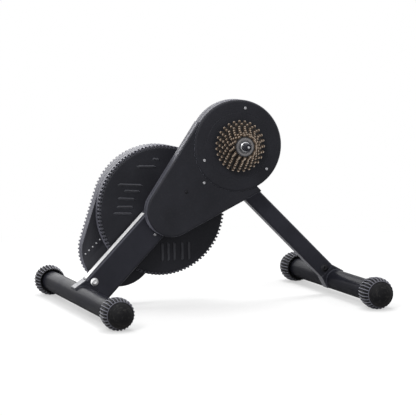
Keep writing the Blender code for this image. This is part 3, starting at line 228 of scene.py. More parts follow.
class Net:
    """A node tree, whose nodes are added one at a time."""

    prefix = "ShaderNode"

    def __init__(self, tree):
        self.nodes, self.links = tree.nodes, tree.links

    def feed(self, socket, value):
        if isinstance(value, tuple) and value and isinstance(value[0], Value):
            for one in value:
                self.links.new(one.socket, socket)
        elif isinstance(value, Value):
            self.links.new(value.socket, socket)
        else:
            socket.default_value = value

    def add(self, kind, *values, out=0, **named):
        """A node: its kind, maybe its settings, then what its sockets take in order or by name."""
        node = self.nodes.new(kind if "Node" in kind else self.prefix + kind)
        if values and isinstance(values[0], dict):
            set_up(node, **values[0])
            values = values[1:]
        for socket, value in zip(node.inputs, values):
            self.feed(socket, value)
        for label, value in named.items():
            socket = next(s for s in node.inputs if s.name == label.replace("_", " ")
                and s.enabled)
            self.feed(socket, value)
        return Value(self, node.outputs[out])


class Finish(Net):
    """A material under one of the record's slots."""

    def __init__(self, name, slot, colour, roughness, metallic=0.0, **fixed):
        self.slot = slot
        self.material = bpy.data.materials.new(name)
        self.material.use_nodes = True
        super().__init__(self.material.node_tree)
        self.shader = self.nodes["Principled BSDF"]
        self.where = self.add("TexCoord", out="Object")
        self.surface(Base_Color=(*colour, 1.0), Roughness=roughness, Metallic=metallic, **fixed)

    def noise(self, scale, detail=2.0, rough=0.5, stretch=None):
        where = self.where
        if stretch is not None:
            where = self.add("Mapping", Vector=where, Scale=stretch)
        return self.add("TexNoise", Vector=where, Scale=scale, Detail=detail, Roughness=rough)

    def blend(self, share, first, second):
        """A colour between two."""
        first, second = ((*c, 1.0) if isinstance(c, tuple) else c for c in (first, second))
        return self.add("Mix", {"data_type": "RGBA"}, Factor=share, A=first, B=second, out=2)

    def radius_about(self, centre):
        """The distance from a line along y."""
        away = self.add("VectorMath", {"operation": "SUBTRACT"}, self.where, across(centre, 0.0))
        flat = self.add("VectorMath", {"operation": "MULTIPLY"}, away, (1, 0, 1))
        return self.add("VectorMath", {"operation": "LENGTH"}, flat, out="Value")

    def surface(self, **sockets):
        for label, value in sockets.items():
            self.feed(self.shader.inputs[label.replace("_", " ")], value)

    def relief(self, *layers):
        """Bumps, each a height, its depth in metres and how strongly it shows."""
        normal = None
        for height, depth, strength in layers:
            below = {} if normal is None else {"Normal": normal}
            normal = self.add("Bump", Strength=strength, Distance=depth, Height=height, **below)
        self.surface(Normal=normal)
        return self

    def facing_up(self):
        """1 on a face that looks up, 0 on one that looks down or sideways."""
        normal = self.add("NewGeometry", out="Normal")
        return self.add("SeparateXYZ", normal, out="Z").rising(0.15, 0.95)

    def worn_edge(self, width):
        """1 along the edges that hands and boots rub."""
        plain = self.add("NewGeometry", out="Normal")
        rounded = self.add("Bevel", {"samples": 4}, width)
        same = self.add("VectorMath", {"operation": "DOT_PRODUCT"}, plain, rounded, out="Value")
        return (1.0 - same).rising(0.03, 0.16)


LILAC = (0.84, 0.84, 1.0, 1.0)


def tinted(colour, share):
    return tuple(c * share for c in colour)


def satin_paint(name, colour, shine=0.26, level=0.22, bloom=0.22, peel=1.0):
    """Powder coat: a fine orange peel, faint clouds, dust on top and rubbed edges."""
    made = Finish(name, "black_paint", colour, 0.34, Specular_IOR_Level=level, Sheen_Weight=bloom,
        Sheen_Roughness=0.35, Sheen_Tint=LILAC, Specular_Tint=LILAC)
    clouds = made.noise(14.0, 4.0, 0.6).rising(0.35, 0.68)
    dust = made.noise(420.0, 3.0, 0.7).rising(0.46, 0.7) * made.facing_up()
    rubbed = made.worn_edge(0.0012) * made.noise(160.0, 3.0, 0.6).rising(0.38, 0.62)
    base = made.blend(clouds * 0.8, tinted(colour, 0.86), tinted(colour, 1.16))
    base = made.blend(dust * 0.06 * peel, base, (0.33, 0.32, 0.3))
    made.surface(Base_Color=made.blend(rubbed * 0.35, base, tinted(colour, 3.2)),
        Roughness=shine + clouds * 0.06 + dust * 0.25 * peel + made.noise(900.0) * 0.06)
    return made.relief((made.noise(620.0, 2.0, 0.5), 0.00006, 0.35 * peel),
        (made.noise(3200.0), 0.00002, 0.2 * peel))


def moulded_plastic(name, colour):
    """Black plastic with a fine moulded grain, a little paler where hands rub it."""
    made = Finish(name, "black_plastic", colour, 0.45, Specular_IOR_Level=0.12, Sheen_Weight=0.34,
        Sheen_Roughness=0.38, Sheen_Tint=(0.82, 0.82, 1.0, 1.0))
    grain = made.add("TexVoronoi", Vector=made.where, Scale=1500.0)
    clouds = made.noise(11.0, 5.0, 0.6).rising(0.34, 0.68)
    dust = made.noise(300.0, 4.0, 0.7).rising(0.48, 0.72)
    rubbed = made.worn_edge(0.001) * made.noise(120.0, 3.0).rising(0.35, 0.6)
    base = made.blend(clouds, tinted(colour, 0.88), tinted(colour, 1.14))
    base = made.blend(dust * (0.02 + made.facing_up() * 0.14), base, (0.3, 0.29, 0.28))
    made.surface(Base_Color=made.blend(rubbed * 0.3, base, tinted(colour, 2.6)),
        Roughness=0.46 + clouds * 0.07 + dust * 0.06)
    return made.relief((grain, 0.00005, 0.35), (made.noise(240.0, 3.0), 0.00008, 0.25))


def ribbed_rubber(name, slot, colour, ridge_highlight_colour):
    """Matt rubber, greyed by the floor low down, and painted pale along its ribs and raised ring
    as a highlight.
    """
    made = Finish(name, slot, colour, 0.68, Specular_IOR_Level=0.16)
    high = made.add("SeparateXYZ", made.where, out="Z")
    floor = 1.0 - high.rising(0.002, 0.026)
    scuffs = made.noise(90.0, 5.0, 0.65, (1.0, 6.0, 1.0)).rising(0.5, 0.72)
    bloom = made.noise(22.0, 3.0).rising(0.35, 0.7)
    base = made.blend(bloom * 0.5, tinted(colour, 0.8), tinted(colour, 1.35))
    base = made.blend(scuffs * 0.14 + floor * 0.1, base, (0.22, 0.21, 0.2))
    # The ridge attribute marks the rib crowns and the raised ring, painted pale here as a
    # highlight.
    ridge = made.add("Attribute", {"attribute_name": "ridge"}, out="Fac")
    ridge_highlight = ridge * (0.7 + made.noise(260.0, 3.0, 0.6) * 0.5)
    made.surface(Base_Color=made.blend(ridge_highlight, base, ridge_highlight_colour),
        Roughness=0.62 + scuffs * 0.14 + bloom * 0.06 - ridge * 0.16)
    return made.relief((made.noise(1400.0, 3.0, 0.6), 0.00008, 0.45), (scuffs, 0.00005, 0.2))


def turned_metal(name, slot, colour, roughness, centre):
    """Metal off the lathe: fine rings about a line along y, with oil and soil in its clouds."""
    made = Finish(name, slot, colour, roughness, 1.0)
    along = made.add("SeparateXYZ", made.where, out="Y")
    line = made.add("CombineXYZ", made.radius_about(centre), along, 0.0)
    cut = made.add("TexNoise", Vector=line, Scale=1400.0, Detail=2.0)
    soil = made.noise(70.0, 4.0, 0.6).rising(0.4, 0.68) * 0.2
    made.surface(Base_Color=made.blend(soil + cut * 0.12, colour, tinted(colour, 0.45)),
        Roughness=roughness - 0.05 + cut * 0.14 + soil * 0.5)
    return made.relief((cut, 0.00003, 0.35), (made.noise(900.0), 0.00002, 0.15))


def cog_steel(name, slot, colour, tip, grease_and_shade):
    """Coated steel teeth painted bright at their tips as a highlight, with black grease and
    painted shade down between them.
    """
    made = Finish(name, slot, colour, 0.3, 1.0)
    pitch = made.add("Attribute", {"attribute_name": "pitch_radius"}, out="Fac")
    past = made.radius_about(AXLE) - pitch + (made.noise(420.0, 3.0, 0.6) - 0.5) * 0.0022
    # tooth fades from grease with painted shade below the teeth; bright paints the highlight at
    # their tips.
    tooth, bright = past.rising(-0.0026, 0.0004), past.rising(0.0004, 0.0026)
    streaks = made.noise(260.0, 3.0, 0.6).rising(0.4, 0.66)
    base = made.blend(tooth, grease_and_shade, colour)
    base = made.blend(bright * 0.85, base, tip)
    made.surface(Base_Color=made.blend(streaks * 0.3, base, grease_and_shade), Metallic=0.3 + tooth * 0.7,
        Roughness=0.52 - tooth * 0.2 + streaks * 0.12)
    return made.relief((streaks, 0.00005, 0.3), (made.noise(1500.0), 0.00002, 0.2))


def brushed_metal(name, slot, colour, roughness, grain=(1.0, 1.0, 30.0), metallic=1.0):
    """Plated or brushed metal with a grain one way, a bright edge and a few dull clouds."""
    made = Finish(name, slot, colour, roughness, metallic)
    brush = made.noise(160.0, 3.0, 0.6, grain)
    clouds = made.noise(95.0, 4.0, 0.6).rising(0.42, 0.7)
    base = made.blend(clouds * 0.35, colour, tinted(colour, 0.55))
    edge = made.worn_edge(0.0006)
    made.surface(Base_Color=made.blend(edge * 0.4, base, tinted(colour, 1.3)),
        Roughness=roughness - 0.04 + brush * 0.16 + clouds * 0.1)
    return made.relief((brush, 0.00003, 0.3))


def cast_metal(name, slot, colour):
    made = Finish(name, slot, colour, 0.55, 0.85)
    skin = made.noise(480.0, 5.0, 0.65)
    rust = made.noise(60.0, 5.0, 0.65).rising(0.58, 0.75)
    made.surface(Base_Color=made.blend(rust * 0.4, colour, (0.16, 0.075, 0.035)),
        Roughness=0.46 + skin * 0.2 + rust * 0.2, Metallic=0.85 - rust * 0.6)
    return made.relief((skin, 0.00018, 0.5))


def board_lacquer(name, slot, colour):
    """Green lacquer over straight copper tracks."""
    made = Finish(name, slot, colour, 0.4)
    tracks = made.add("TexBrick", {"offset": 0.35}, made.where, (0, 0, 0, 1), (0, 0, 0, 1),
        (1, 1, 1, 1), 260.0, 0.09, 0.1, 0.0, 0.9, 0.35, out=1)
    specks = made.noise(700.0, 2.0).rising(0.55, 0.7)
    base = made.blend(tracks * 0.5, colour, (0.06, 0.26, 0.1))
    made.surface(Base_Color=made.blend(specks * 0.2, base, (0.5, 0.45, 0.3)),
        Roughness=0.34 + specks * 0.2)
    return made.relief((tracks, 0.00004, 0.5))


paint = satin_paint("satin charcoal paint", (0.0215, 0.0221, 0.0282))
bar_paint = satin_paint("satin tube paint", (0.014, 0.0143, 0.0196), 0.27, 0.012, 0.0, 0.3)
plastic = moulded_plastic("moulded black plastic", (0.0192, 0.0197, 0.0246))
# The drum's ribs: the shell's plastic painted paler, a painted highlight on the rib tips.
painted_highlight = moulded_plastic("handled plastic ribs", (0.064, 0.0645, 0.076))
crescent = moulded_plastic("crescent plastic", (0.034, 0.0345, 0.041))
# The louvre lips: the face's plastic painted paler, a painted highlight on the hoods.
lips = moulded_plastic("rubbed plastic lips", (0.056, 0.057, 0.065))
# The pale second colour is the painted highlight on the feet's ribs and ring.
rubber = ribbed_rubber("black rubber", "black_rubber", (0.0052, 0.0052, 0.0064),
    (0.185, 0.185, 0.225))
dark = turned_metal("blackened steel", "dark_steel", (0.16, 0.16, 0.17), 0.38, AXLE)
shaft_steel = turned_metal("ground shaft steel", "dark_steel", (0.3, 0.3, 0.31), 0.3, SHAFT)
# The pale tip colour is a painted highlight, the near-black one grease with painted shade.
bronze = cog_steel("bronze coated steel", "bronze_steel", (0.17, 0.12, 0.083), (0.9, 0.76, 0.63),
    (0.012, 0.009, 0.008))
zinc = brushed_metal("bright zinc plate", "bright_steel", (0.68, 0.68, 0.69), 0.27)
polished = turned_metal("polished steel", "bright_steel", (0.66, 0.66, 0.67), 0.24, AXLE)
dull_zinc = brushed_metal("dull zinc plate", "bright_steel", (0.44, 0.44, 0.46), 0.36)
oxide = brushed_metal("black oxide", "bright_steel", (0.03, 0.03, 0.034), 0.42)
oiled = turned_metal("oiled steel", "bright_steel", (0.26, 0.25, 0.25), 0.32, AXLE)
alloy = brushed_metal("brushed aluminium", "aluminium", (0.6, 0.61, 0.62), 0.34)
satin_alloy = brushed_metal("satin silver strip", "aluminium", (0.95, 0.95, 0.96), 0.46,
    (1.0, 30.0, 1.0), 0.15)
iron = cast_metal("cast iron", "cast_iron", (0.1, 0.1, 0.105))
lacquer = board_lacquer("circuit lacquer", "circuit_green", (0.02, 0.12, 0.05))


class Form:
    """Collects rings of points into closed skins, then becomes a mesh."""

    def __init__(self):
        self.mesh = bmesh.new()

    def ring(self, points):
        return [self.mesh.verts.new(p) for p in points]

    def bridge(self, first, second):
        for i in range(len(first)):
            j = (i + 1) % len(first)
            self.mesh.faces.new((first[i], first[j], second[j], second[i]))

    def cap(self, *rings):
        """One flat face with the first ring as its edge and the others as holes."""
        if len(rings) == 1:
            self.mesh.faces.new(rings[0])
            return
        edges = []
        for ring in rings:
            for a, b in zip(ring, ring[1:] + ring[:1]):
                edges.append(self.mesh.edges.get((a, b)) or self.mesh.edges.new((a, b)))
        bmesh.ops.triangle_fill(self.mesh, edges=edges, use_beauty=True)

    def stack(self, levels, closed=False):
        """A skin over rings of points, capped at its ends or closed on itself."""
        rings = [self.ring(points) for points in levels]
        for first, second in zip(rings, rings[1:]):
            self.bridge(first, second)
        if closed:
            self.bridge(rings[-1], rings[0])
        else:
            self.cap(rings[0])
            self.cap(rings[-1])
        return self

    def layers(self, levels, closed=False):
        """A skin over (outline, level) pairs."""
        rings = [[across(p, level) for p in outline] for outline, level in levels]
        return self.stack(rings, closed)

    def walls(self, outline, near, far, holes=()):
        """Walls between two levels, closed at both, with holes right through."""
        ends = [[self.ring(across(p, level) for p in loop) for loop in (outline, *holes)]
            for level in (near, far)]
        for first, second in zip(*ends):
            self.bridge(first, second)
        for rings in ends:
            self.cap(*rings)
        return self

    def turn(self, centre, profile, steps=96, closed=True):
        """A skin turned about a line along y, from (radius, level) pairs."""
        return self.layers([(circle(centre, radius, steps), level) for radius, level in profile],
            closed)

    def pin(self, base, direction, profile, steps=32):
        """A round pin from base along direction, from (radius, distance) pairs."""
        facing = direction.to_track_quat("Z", "Y")
        return self.stack([[base + facing @ Vector((r * cos(a), r * sin(a), d))
            for a in turns(steps)] for r, d in profile])

    def made(self):
        bmesh.ops.recalc_face_normals(self.mesh, faces=self.mesh.faces)
        mesh = bpy.data.meshes.new("form")
        self.mesh.to_mesh(mesh)
        self.mesh.free()
        return mesh


def shown(name, data):
    """An object in the scene."""
    piece = bpy.data.objects.new(name, data)
    bpy.context.scene.collection.objects.link(piece)
    return piece


def evaluated(piece):
    """The mesh that the piece's modifiers leave."""
    graph = bpy.context.evaluated_depsgraph_get()
    return bpy.data.meshes.new_from_object(piece.evaluated_get(graph), depsgraph=graph)


def placed(name, shape, finish=None, smooth=32.0):
    """An object of a form or a mesh, with edges sharper than an angle kept sharp."""
    mesh = shape.made() if isinstance(shape, Form) else shape
    mesh.name = name
    if finish is not None:
        mesh.materials.clear()
        mesh.materials.append(finish.material)
    mesh.shade_smooth()
    mesh.set_sharp_from_angle(angle=radians(smooth))
    return shown(name, mesh)


def worked(piece, kind, **settings):
    """The piece with a modifier made part of its mesh."""
    set_up(piece.modifiers.new(kind, kind), **settings)
    mesh = evaluated(piece)
    piece.modifiers.clear()
    piece.data = mesh
    return piece


def carved(piece, form):
    """Takes the form away from the piece."""
    tool = placed("tool", form)
    worked(piece, "BOOLEAN", operation="DIFFERENCE", solver="EXACT", object=tool)
    bpy.data.objects.remove(tool)
    return piece


def softened(piece, width, steps=2, angle=32.0):
    """Rounds the piece's sharp edges."""
    tidy = bmesh.new()
    tidy.from_mesh(piece.data)
    bmesh.ops.remove_doubles(tidy, verts=tidy.verts, dist=1e-6)
    bmesh.ops.dissolve_limit(tidy, angle_limit=radians(1.5), verts=tidy.verts, edges=tidy.edges)
    tidy.to_mesh(piece.data)
    tidy.free()
    piece.data.shade_smooth()
    return worked(piece, "BEVEL", width=width, segments=steps, limit_method="ANGLE",
        angle_limit=radians(angle), harden_normals=True, miter_outer="MITER_ARC")


def flattened(piece):
    """Keeps broad faces flat in the light beside their rounded edges."""
    return worked(piece, "WEIGHTED_NORMAL", weight=100, keep_sharp=True)


def joined(name, *pieces):
    """Several pieces made one, each with its own finish."""
    whole = bmesh.new()
    materials = []
    for piece in pieces:
        first = len(whole.faces)
        whole.from_mesh(piece.data)
        whole.faces.ensure_lookup_table()
        for face in whole.faces[first:]:
            material = piece.data.materials[face.material_index]
            if material not in materials:
                materials.append(material)
            face.material_index = materials.index(material)
    mesh = bpy.data.meshes.new(name)
    whole.to_mesh(mesh)
    whole.free()
    for material in materials:
        mesh.materials.append(material)
    for piece in pieces:
        bpy.data.objects.remove(piece)
    return shown(name, mesh)


def fitted(piece, finish, body, *nodes):
    """The piece rides on a body and stands for these nodes."""
    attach(piece, body)
    if nodes:
        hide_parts(*nodes)


def dressed(name, form, finish, body, *nodes, smooth=32.0):
    """A form as a piece with its finish."""
    fitted(placed(name, form, finish, smooth), finish, body, *nodes)


def refined(name, finish, width, body, steps=2):
    """A node's own shape with its edges rounded."""
    piece = placed(name + "_finished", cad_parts[name].data.copy(), finish)
    fitted(softened(piece, width, steps), finish, body, name)


class Tree(Net):
    """A geometry tree on a base mesh, with named inputs for its sizes."""

    kinds = {int: "NodeSocketInt", float: "NodeSocketFloat"}
    prefix = "GeometryNode"

    def __init__(self, name, sizes):
        self.group = bpy.data.node_groups.new(name, "GeometryNodeTree")
        super().__init__(self.group)
        self.group.interface.new_socket("Base", in_out="INPUT", socket_type="NodeSocketGeometry")
        self.group.interface.new_socket("Made", in_out="OUTPUT", socket_type="NodeSocketGeometry")
        self.keys = {}
        for label, kind in (*sizes.items(), ("Material", "NodeSocketMaterial")):
            socket = self.group.interface.new_socket(label, in_out="INPUT",
                socket_type=self.kinds.get(kind, kind))
            self.keys[label] = socket.identifier
        self.given = self.nodes.new("NodeGroupInput")

    def __getitem__(self, label):
        return Value(self, self.given.outputs[label])

    def ends_with(self, made):
        """Instances become real geometry, and every face gets the material."""
        made = self.add("RealizeInstances", made)
        made = self.add("SetMaterial", made, Material=self["Material"])
        self.feed(self.nodes.new("NodeGroupOutput").inputs["Made"], made)
        return self

    def solid(self, flat, depth):
        """A flat filled shape carried up z by a depth, closed behind."""
        up = self.add("ShaderNodeCombineXYZ", 0.0, 0.0, 1.0)
        top = self.add("ExtrudeMesh", {"mode": "FACES"}, flat, Offset=up, Offset_Scale=depth,
            Individual=False)
        back = self.add("FlipFaces", flat)
        both = self.add("JoinGeometry", (top, back))
        return self.add("MergeByDistance", both, Distance=1e-6)

    def grown(self, base, finish, **sizes):
        """The plain mesh that the tree makes on the base."""
        carrier = shown(self.group.name, base)
        made = carrier.modifiers.new(self.group.name, "NODES")
        made.node_group = self.group
        for label, value in sizes.items():
            made[self.keys[label.replace("_", " ")]] = value
        made[self.keys["Material"]] = finish.material
        mesh = evaluated(carrier)
        bpy.data.objects.remove(carrier)
        return mesh


def path_mesh(*lines, closed=False):
    """A mesh of edges along lines of points."""
    mesh = bpy.data.meshes.new("path")
    points, edges = [], []
    for line in lines:
        first = len(points)
        points += line
        edges += [(i, i + 1) for i in range(first, len(points) - 1)]
        if closed:
            edges.append((len(points) - 1, first))
    mesh.from_pydata(points, edges, [])
    return mesh


def rib_tree():
    """Rounded ribs along y, stood side by side on an outline."""
    tree = Tree("ribs on an outline", {"Count": int, "Width": float, "Depth": float,
        "Length": float, "Corner": float})
    line = tree.add("MeshToCurve", tree["Base"])
    line = tree.add("ResampleCurve", {"mode": "COUNT"}, line, Count=tree["Count"])
    section = tree.add("CurvePrimitiveQuadrilateral", tree["Depth"], tree["Width"])
    section = tree.add("FilletCurve", {"mode": "POLY"}, section, Count=3, Radius=tree["Corner"])
    rib = tree.solid(tree.add("FillCurve", {"mode": "NGONS"}, section), tree["Length"])
    along = tree.add("ShaderNodeCombineXYZ", 0.0, 1.0, 0.0)
    out = tree.add("ShaderNodeVectorMath", {"operation": "CROSS_PRODUCT"}, along,
        tree.add("InputTangent"))
    upright = tree.add("FunctionNodeAlignRotationToVector", {"axis": "Z"}, Vector=along)
    facing = tree.add("FunctionNodeAlignRotationToVector", {"axis": "X", "pivot_axis": "Z"},
        upright, Vector=out)
    return tree.ends_with(tree.add("InstanceOnPoints", line, Instance=rib, Rotation=facing))


def bead_tree():
    """A rounded bead along lines, whose width ripples and wanders."""
    tree = Tree("bead along lines", {"Radius": float, "Step": float, "Ripple": float,
        "Pitch": float, "Wander": float, "Seed": int})
    line = tree.add("MeshToCurve", tree["Base"])
    line = tree.add("ResampleCurve", {"mode": "LENGTH"}, line, Length=tree["Step"])
    along = tree.add("SplineParameter", out="Length")
    wave = tree.add("ShaderNodeMath", {"operation": "SINE"}, along * tau / tree["Pitch"])
    stray = tree.add("FunctionNodeRandomValue", {"data_type": "FLOAT"}, Min=-1.0, Max=1.0,
        Seed=tree["Seed"], out=1)
    width = tree["Radius"] * (1.0 + wave * tree["Ripple"] + stray * tree["Wander"])
    section = tree.add("CurvePrimitiveCircle", Resolution=12, Radius=1.0)
    return tree.ends_with(tree.add("CurveToMesh", line, section, width, True))


def louvre_tree():
    """Hoods pressed out of a face: each slopes out from its upper edge and fades at its ends."""
    tree = Tree("louvres along lines", {"Height": float, "Depth": float, "Step": float})
    line = tree.add("MeshToCurve", tree["Base"])
    line = tree.add("ResampleCurve", {"mode": "LENGTH"}, line, Length=tree["Step"])
    line = tree.add("SetCurveNormal", {"mode": "Z_UP"}, line)
    share = tree.add("SplineParameter")
    ends = share.rising(0.0, 0.1) * (1.0 - share.rising(0.9, 1.0))
    corners = [tree.add("ShaderNodeCombineXYZ", tree["Depth"] * out, tree["Height"] * up, 0.0)
        for out, up in ((-0.2, 0.5), (-0.2, -0.5), (0.8, -0.34), (1.0, -0.14))]
    section = tree.add("CurvePrimitiveQuadrilateral", {"mode": "POINTS"}, Point_1=corners[0],
        Point_2=corners[1], Point_3=corners[2], Point_4=corners[3])
    return tree.ends_with(tree.add("CurveToMesh", line, section, ends * 0.98 + 0.02, True))


def fastener_tree():
    """One fastener's model set on each point, turned at random about its own line."""
    tree = Tree("fasteners on points", {"Model": "NodeSocketObject", "Facing": "NodeSocketVector",
        "Seed": int})
    spots = tree.add("MeshToPoints", tree["Base"])
    model = tree.add("ObjectInfo", tree["Model"], out="Geometry")
    facing = tree.add("FunctionNodeAlignRotationToVector", {"axis": "Z"}, Vector=tree["Facing"])
    angle = tree.add("FunctionNodeRandomValue", {"data_type": "FLOAT"}, Min=0.0, Max=tau,
        Seed=tree["Seed"], out=1)
    twist = tree.add("FunctionNodeAxisAngleToRotation", (0.0, 0.0, 1.0), angle)
    turned = tree.add("FunctionNodeRotateRotation", {"rotation_space": "LOCAL"}, facing, twist)
    return tree.ends_with(tree.add("InstanceOnPoints", spots, Instance=model, Rotation=turned))


def sprocket_tree():
    """A toothed plate with a bore and a ring of windows, flat on z and facing up."""
    tree = Tree("sprocket", {"Teeth": int, "Pitch Radius": float, "Tip": float, "Root": float,
        "Bore": float, "Windows": int, "Window Ring": float, "Window Radius": float,
        "Thickness": float})
    steps = tree["Teeth"] * 16.0
    rim = tree.add("CurvePrimitiveCircle", steps, Radius=1.0)
    at = tree.add("InputPosition")
    index = tree.add("InputIndex")
    phase = tree.add("ShaderNodeMath", {"operation": "FRACT"}, index / 16.0)
    away = tree.add("ShaderNodeMath", {"operation": "ABSOLUTE"}, phase - 0.5) * 2.0
    ramp = away.rising(0.12, 0.86)
    reach = tree["Pitch Radius"] - tree["Root"] + (tree["Tip"] + tree["Root"]) * ramp
    where = tree.add("ShaderNodeVectorMath", {"operation": "SCALE"}, at, Scale=reach)
    rim = tree.add("SetPosition", rim, Position=where)
    bore = tree.add("CurvePrimitiveCircle", 64, Radius=tree["Bore"])
    ring = tree.add("CurvePrimitiveCircle", tree["Windows"], Radius=tree["Window Ring"])
    window = tree.add("CurvePrimitiveCircle", 24, Radius=tree["Window Radius"])
    windows = tree.add("InstanceOnPoints", ring, Instance=window)
    windows = tree.add("RealizeInstances", windows)
    lines = tree.add("JoinGeometry", (rim, bore, windows))
    plate = tree.add("FillCurve", {"mode": "TRIANGLES"}, lines)
    return tree.ends_with(tree.solid(plate, tree["Thickness"]))


ribs, bead, fasteners = rib_tree(), bead_tree(), fastener_tree()
sprocket, louvres = sprocket_tree(), louvre_tree()
NEAR, FAR, UP = Vector((0, -1, 0)), Vector((0, 1, 0)), Vector((0, 0, 1))


def arm_outline(head, tail, half, inset):
    """A straight arm with a round head, its edge moved in by inset."""
    down = (tail - head).normalized()
    side = turned_left(down)
    r = half - inset
    half_turn = [pi * i / 48 for i in range(49)]
    bend = [head + side * (r * cos(a)) - down * (r * sin(a)) for a in half_turn]
    return [tail + side * r] + bend + [tail - side * r]


def box_arm(name, head, tail, width, thick, edge):
    """A rectangular tube with rounded edges and a round head."""
    near = [(inset, depth - thick / 2) for inset, depth in reversed(rounding(edge, 7))]
    far = [(inset, -level) for inset, level in reversed(near)]
    levels = [(arm_outline(head, tail, width / 2, inset), level) for inset, level in near + far]
    return placed(name, Form().layers(levels), paint, 28.0)


def make_beam():
    beam = box_arm("beam", HEAD, BEAM_TAIL, BEAM_W, BEAM_T, BEAM_EDGE)
    bore = Form().walls(circle(AXLE, 0.0173), 0.004, 0.03)
    fitted(flattened(carved(beam, bore)), paint, "frame", "main_beam")
    sleeve = Form().turn(AXLE, [(0.0088, 0.0184), (0.0092, 0.019), (0.0166, 0.019),
        (0.017, 0.0186), (0.017, -0.0226), (0.012, -0.0226), (0.012, -0.0271), (0.0088, -0.0271)])
    dressed("sleeve_of_axle", sleeve, dark, "frame", "axle_sleeve")


def make_beam_strip():
    """The bright strip let into the beam's flat top, from its saddle up behind the belt cover."""
    top = BEAM_LEFT * (BEAM_W / 2 - 0.0004)
    low, high = BEAM_TAIL + BEAM_UP * 0.0035 + top, SHAFT - BEAM_UP * 0.036 + top
    skin = BEAM_LEFT * 0.001
    strip = Form().walls([low, high, high + skin, low + skin], -0.0112, 0.0092)
    strip = softened(placed("strip", strip, satin_alloy), 0.0004)
    fitted(strip, satin_alloy, "frame")


def weld_path(tube, left, arm_t):
    """Round the tube on both faces of its block, and along under the block's edges."""
    start, ends = angle_of(left), (-arm_t / 2, arm_t / 2)
    lines = [[across(p, level) for p in arc(tube, TUBE_R, start, start - pi, 40)]
        for level in ends]
    for side in (-1, 1):
        edge = tube + left * side * (TUBE_R + 0.0004)
        lines.append([across(edge, level) for level in ends])
    return path_mesh(*lines)


def make_crossbar(name, tube, half, up, shift, end, arm_w, arm_t, body):
    """A stabiliser: a round tube with the block that carries the arm welded on it."""
    left = turned_left(up)
    bar = placed("bar", Form().walls(circle(tube, TUBE_R), -half, half), bar_paint)
    hip = TUBE_R + SADDLE_T
    middle = tube + left * shift
    shoulder = middle + up * (end - GAP)
    block = Form().walls([tube - left * hip, shoulder - left * (arm_w / 2 - 0.0004),
        shoulder + left * (arm_w / 2 - 0.0004), tube + left * hip], -arm_t / 2 + 0.0003,
        arm_t / 2 - 0.0003)
    block = softened(placed("block", block, paint), 0.0026, 4)
    seam = placed("seam", bead.grown(weld_path(tube, left, arm_t), paint, Radius=0.0021,
        Step=0.0007, Ripple=0.1, Pitch=0.0026, Wander=0.05, Seed=3), smooth=60.0)
    fitted(joined(name, bar, block, seam), paint, body, name.replace("_welded", ""))


def foot_profile(mouth, rim):
    """(ridge radius, groove radius, level): a hollow mouth, a ribbed sleeve that runs on over
    the shoulder, a raised ring and a smooth ball-like end."""
    sleeve = [(0.0296, 0.028, 0.001), (0.0301, 0.0282, 0.0), (0.0307, 0.0284, 0.0003),
        (0.0312, 0.0286, 0.0012), (0.0319, 0.0288, 0.006), (0.033, 0.0295, 0.0125),
        (0.0341, 0.0304, 0.0195), (0.0349, 0.0313, 0.026), (FOOT_R, 0.0317, 0.032),
        (FOOT_R, 0.032, FOOT_LENGTH)]
    mouthing = ((GAP, 0.012), (GAP, 0.009), (0.0025, 0.0085))
    profile = [(TUBE_R + out, TUBE_R + out, mouth + depth) for out, depth in mouthing]
    profile += [(ridge, groove, mouth + depth) for ridge, groove, depth in sleeve]

    def on_dome(degrees, ridge, groove):
        a = radians(degrees)
        radius = FOOT_R * cos(a)
        return radius + ridge, radius - groove, rim + FOOT_DOME * sin(a)

    profile += [on_dome(*stop) for stop in ((8, 0, 0.003), (16, 0, 0.003), (24, 0, 0.0028),
        (30, 0, 0.0022), (33, 0, 0.001), (34, 0, 0), (35, 0.0005, -0.0005),
        (FOOT_RING, 0.001, -0.001), (38, 0.0005, -0.0005), (39, -0.0003, 0.0003),
        (40, -0.0008, 0.0008))]
    profile += [on_dome(degrees, -0.0008, 0.0008) for degrees in range(43, 86, 3)]
    return profile


def make_feet(name, tube, half, body):
    """Ribbed feet on both ends of a tube, flat where they stand."""
    shares = (0.0, 0.0, 0.0, 0.45, 1.0, 1.0, 0.45, 0.0) * FOOT_RIBS
    ways = [heading(a) for a in turns(len(shares))]
    for side, where in ((-1, "near"), (1, "far")):
        levels, ridge_highlight = [], []
        ring = half + FOOT_DOME * sin(radians(FOOT_RING))
        for ridge, groove, level in foot_profile(half - FOOT_LENGTH, half):
            proud = abs(level - ring) < 0.0004
            # Shares of the painted highlight: the rib crowns and the raised ring.
            ridge_highlight += [part ** 3 if ridge > groove else float(proud) for part in shares]
            points = [across(tube + way * (groove + (ridge - groove) * part), side * level)
                for part, way in zip(shares, ways)]
            for p in points:
                p.z = max(p.z, 0.0)
            levels.append(points)
        mesh = Form().stack(levels).made()
        mesh.attributes.new("ridge", "FLOAT", "POINT").data.foreach_set("value", ridge_highlight)
        foot = placed(f"{name}_rubber_{where}", mesh, rubber, 40.0)
        fitted(foot, rubber, body, f"{name}_foot_{where}")


def socket_screw(head_r, head_t, socket_r, socket_t, dome, washer_r=0.0):
    """A screw's head on z = 0, with a hexagon socket in it and maybe a washer under it."""
    foot = (((washer_r, -0.0004), (washer_r, 0.001), (head_r, 0.0012)) if washer_r
        else ((head_r * 0.97, -0.0004), (head_r, 0.0002)))
    head = Form().pin(Vector(), UP, (*foot, (head_r, head_t * (1 - dome)),
        (head_r * 0.9, head_t * (1 - dome * 0.25)), (head_r * 0.72, head_t)), 40)
    head = placed("head", head, zinc, 40.0)
    key = Form().pin(UP * (head_t - socket_t), UP, ((socket_r, 0.0), (socket_r, 2 * socket_t)), 6)
    return softened(carved(head, key), head_r * 0.05)


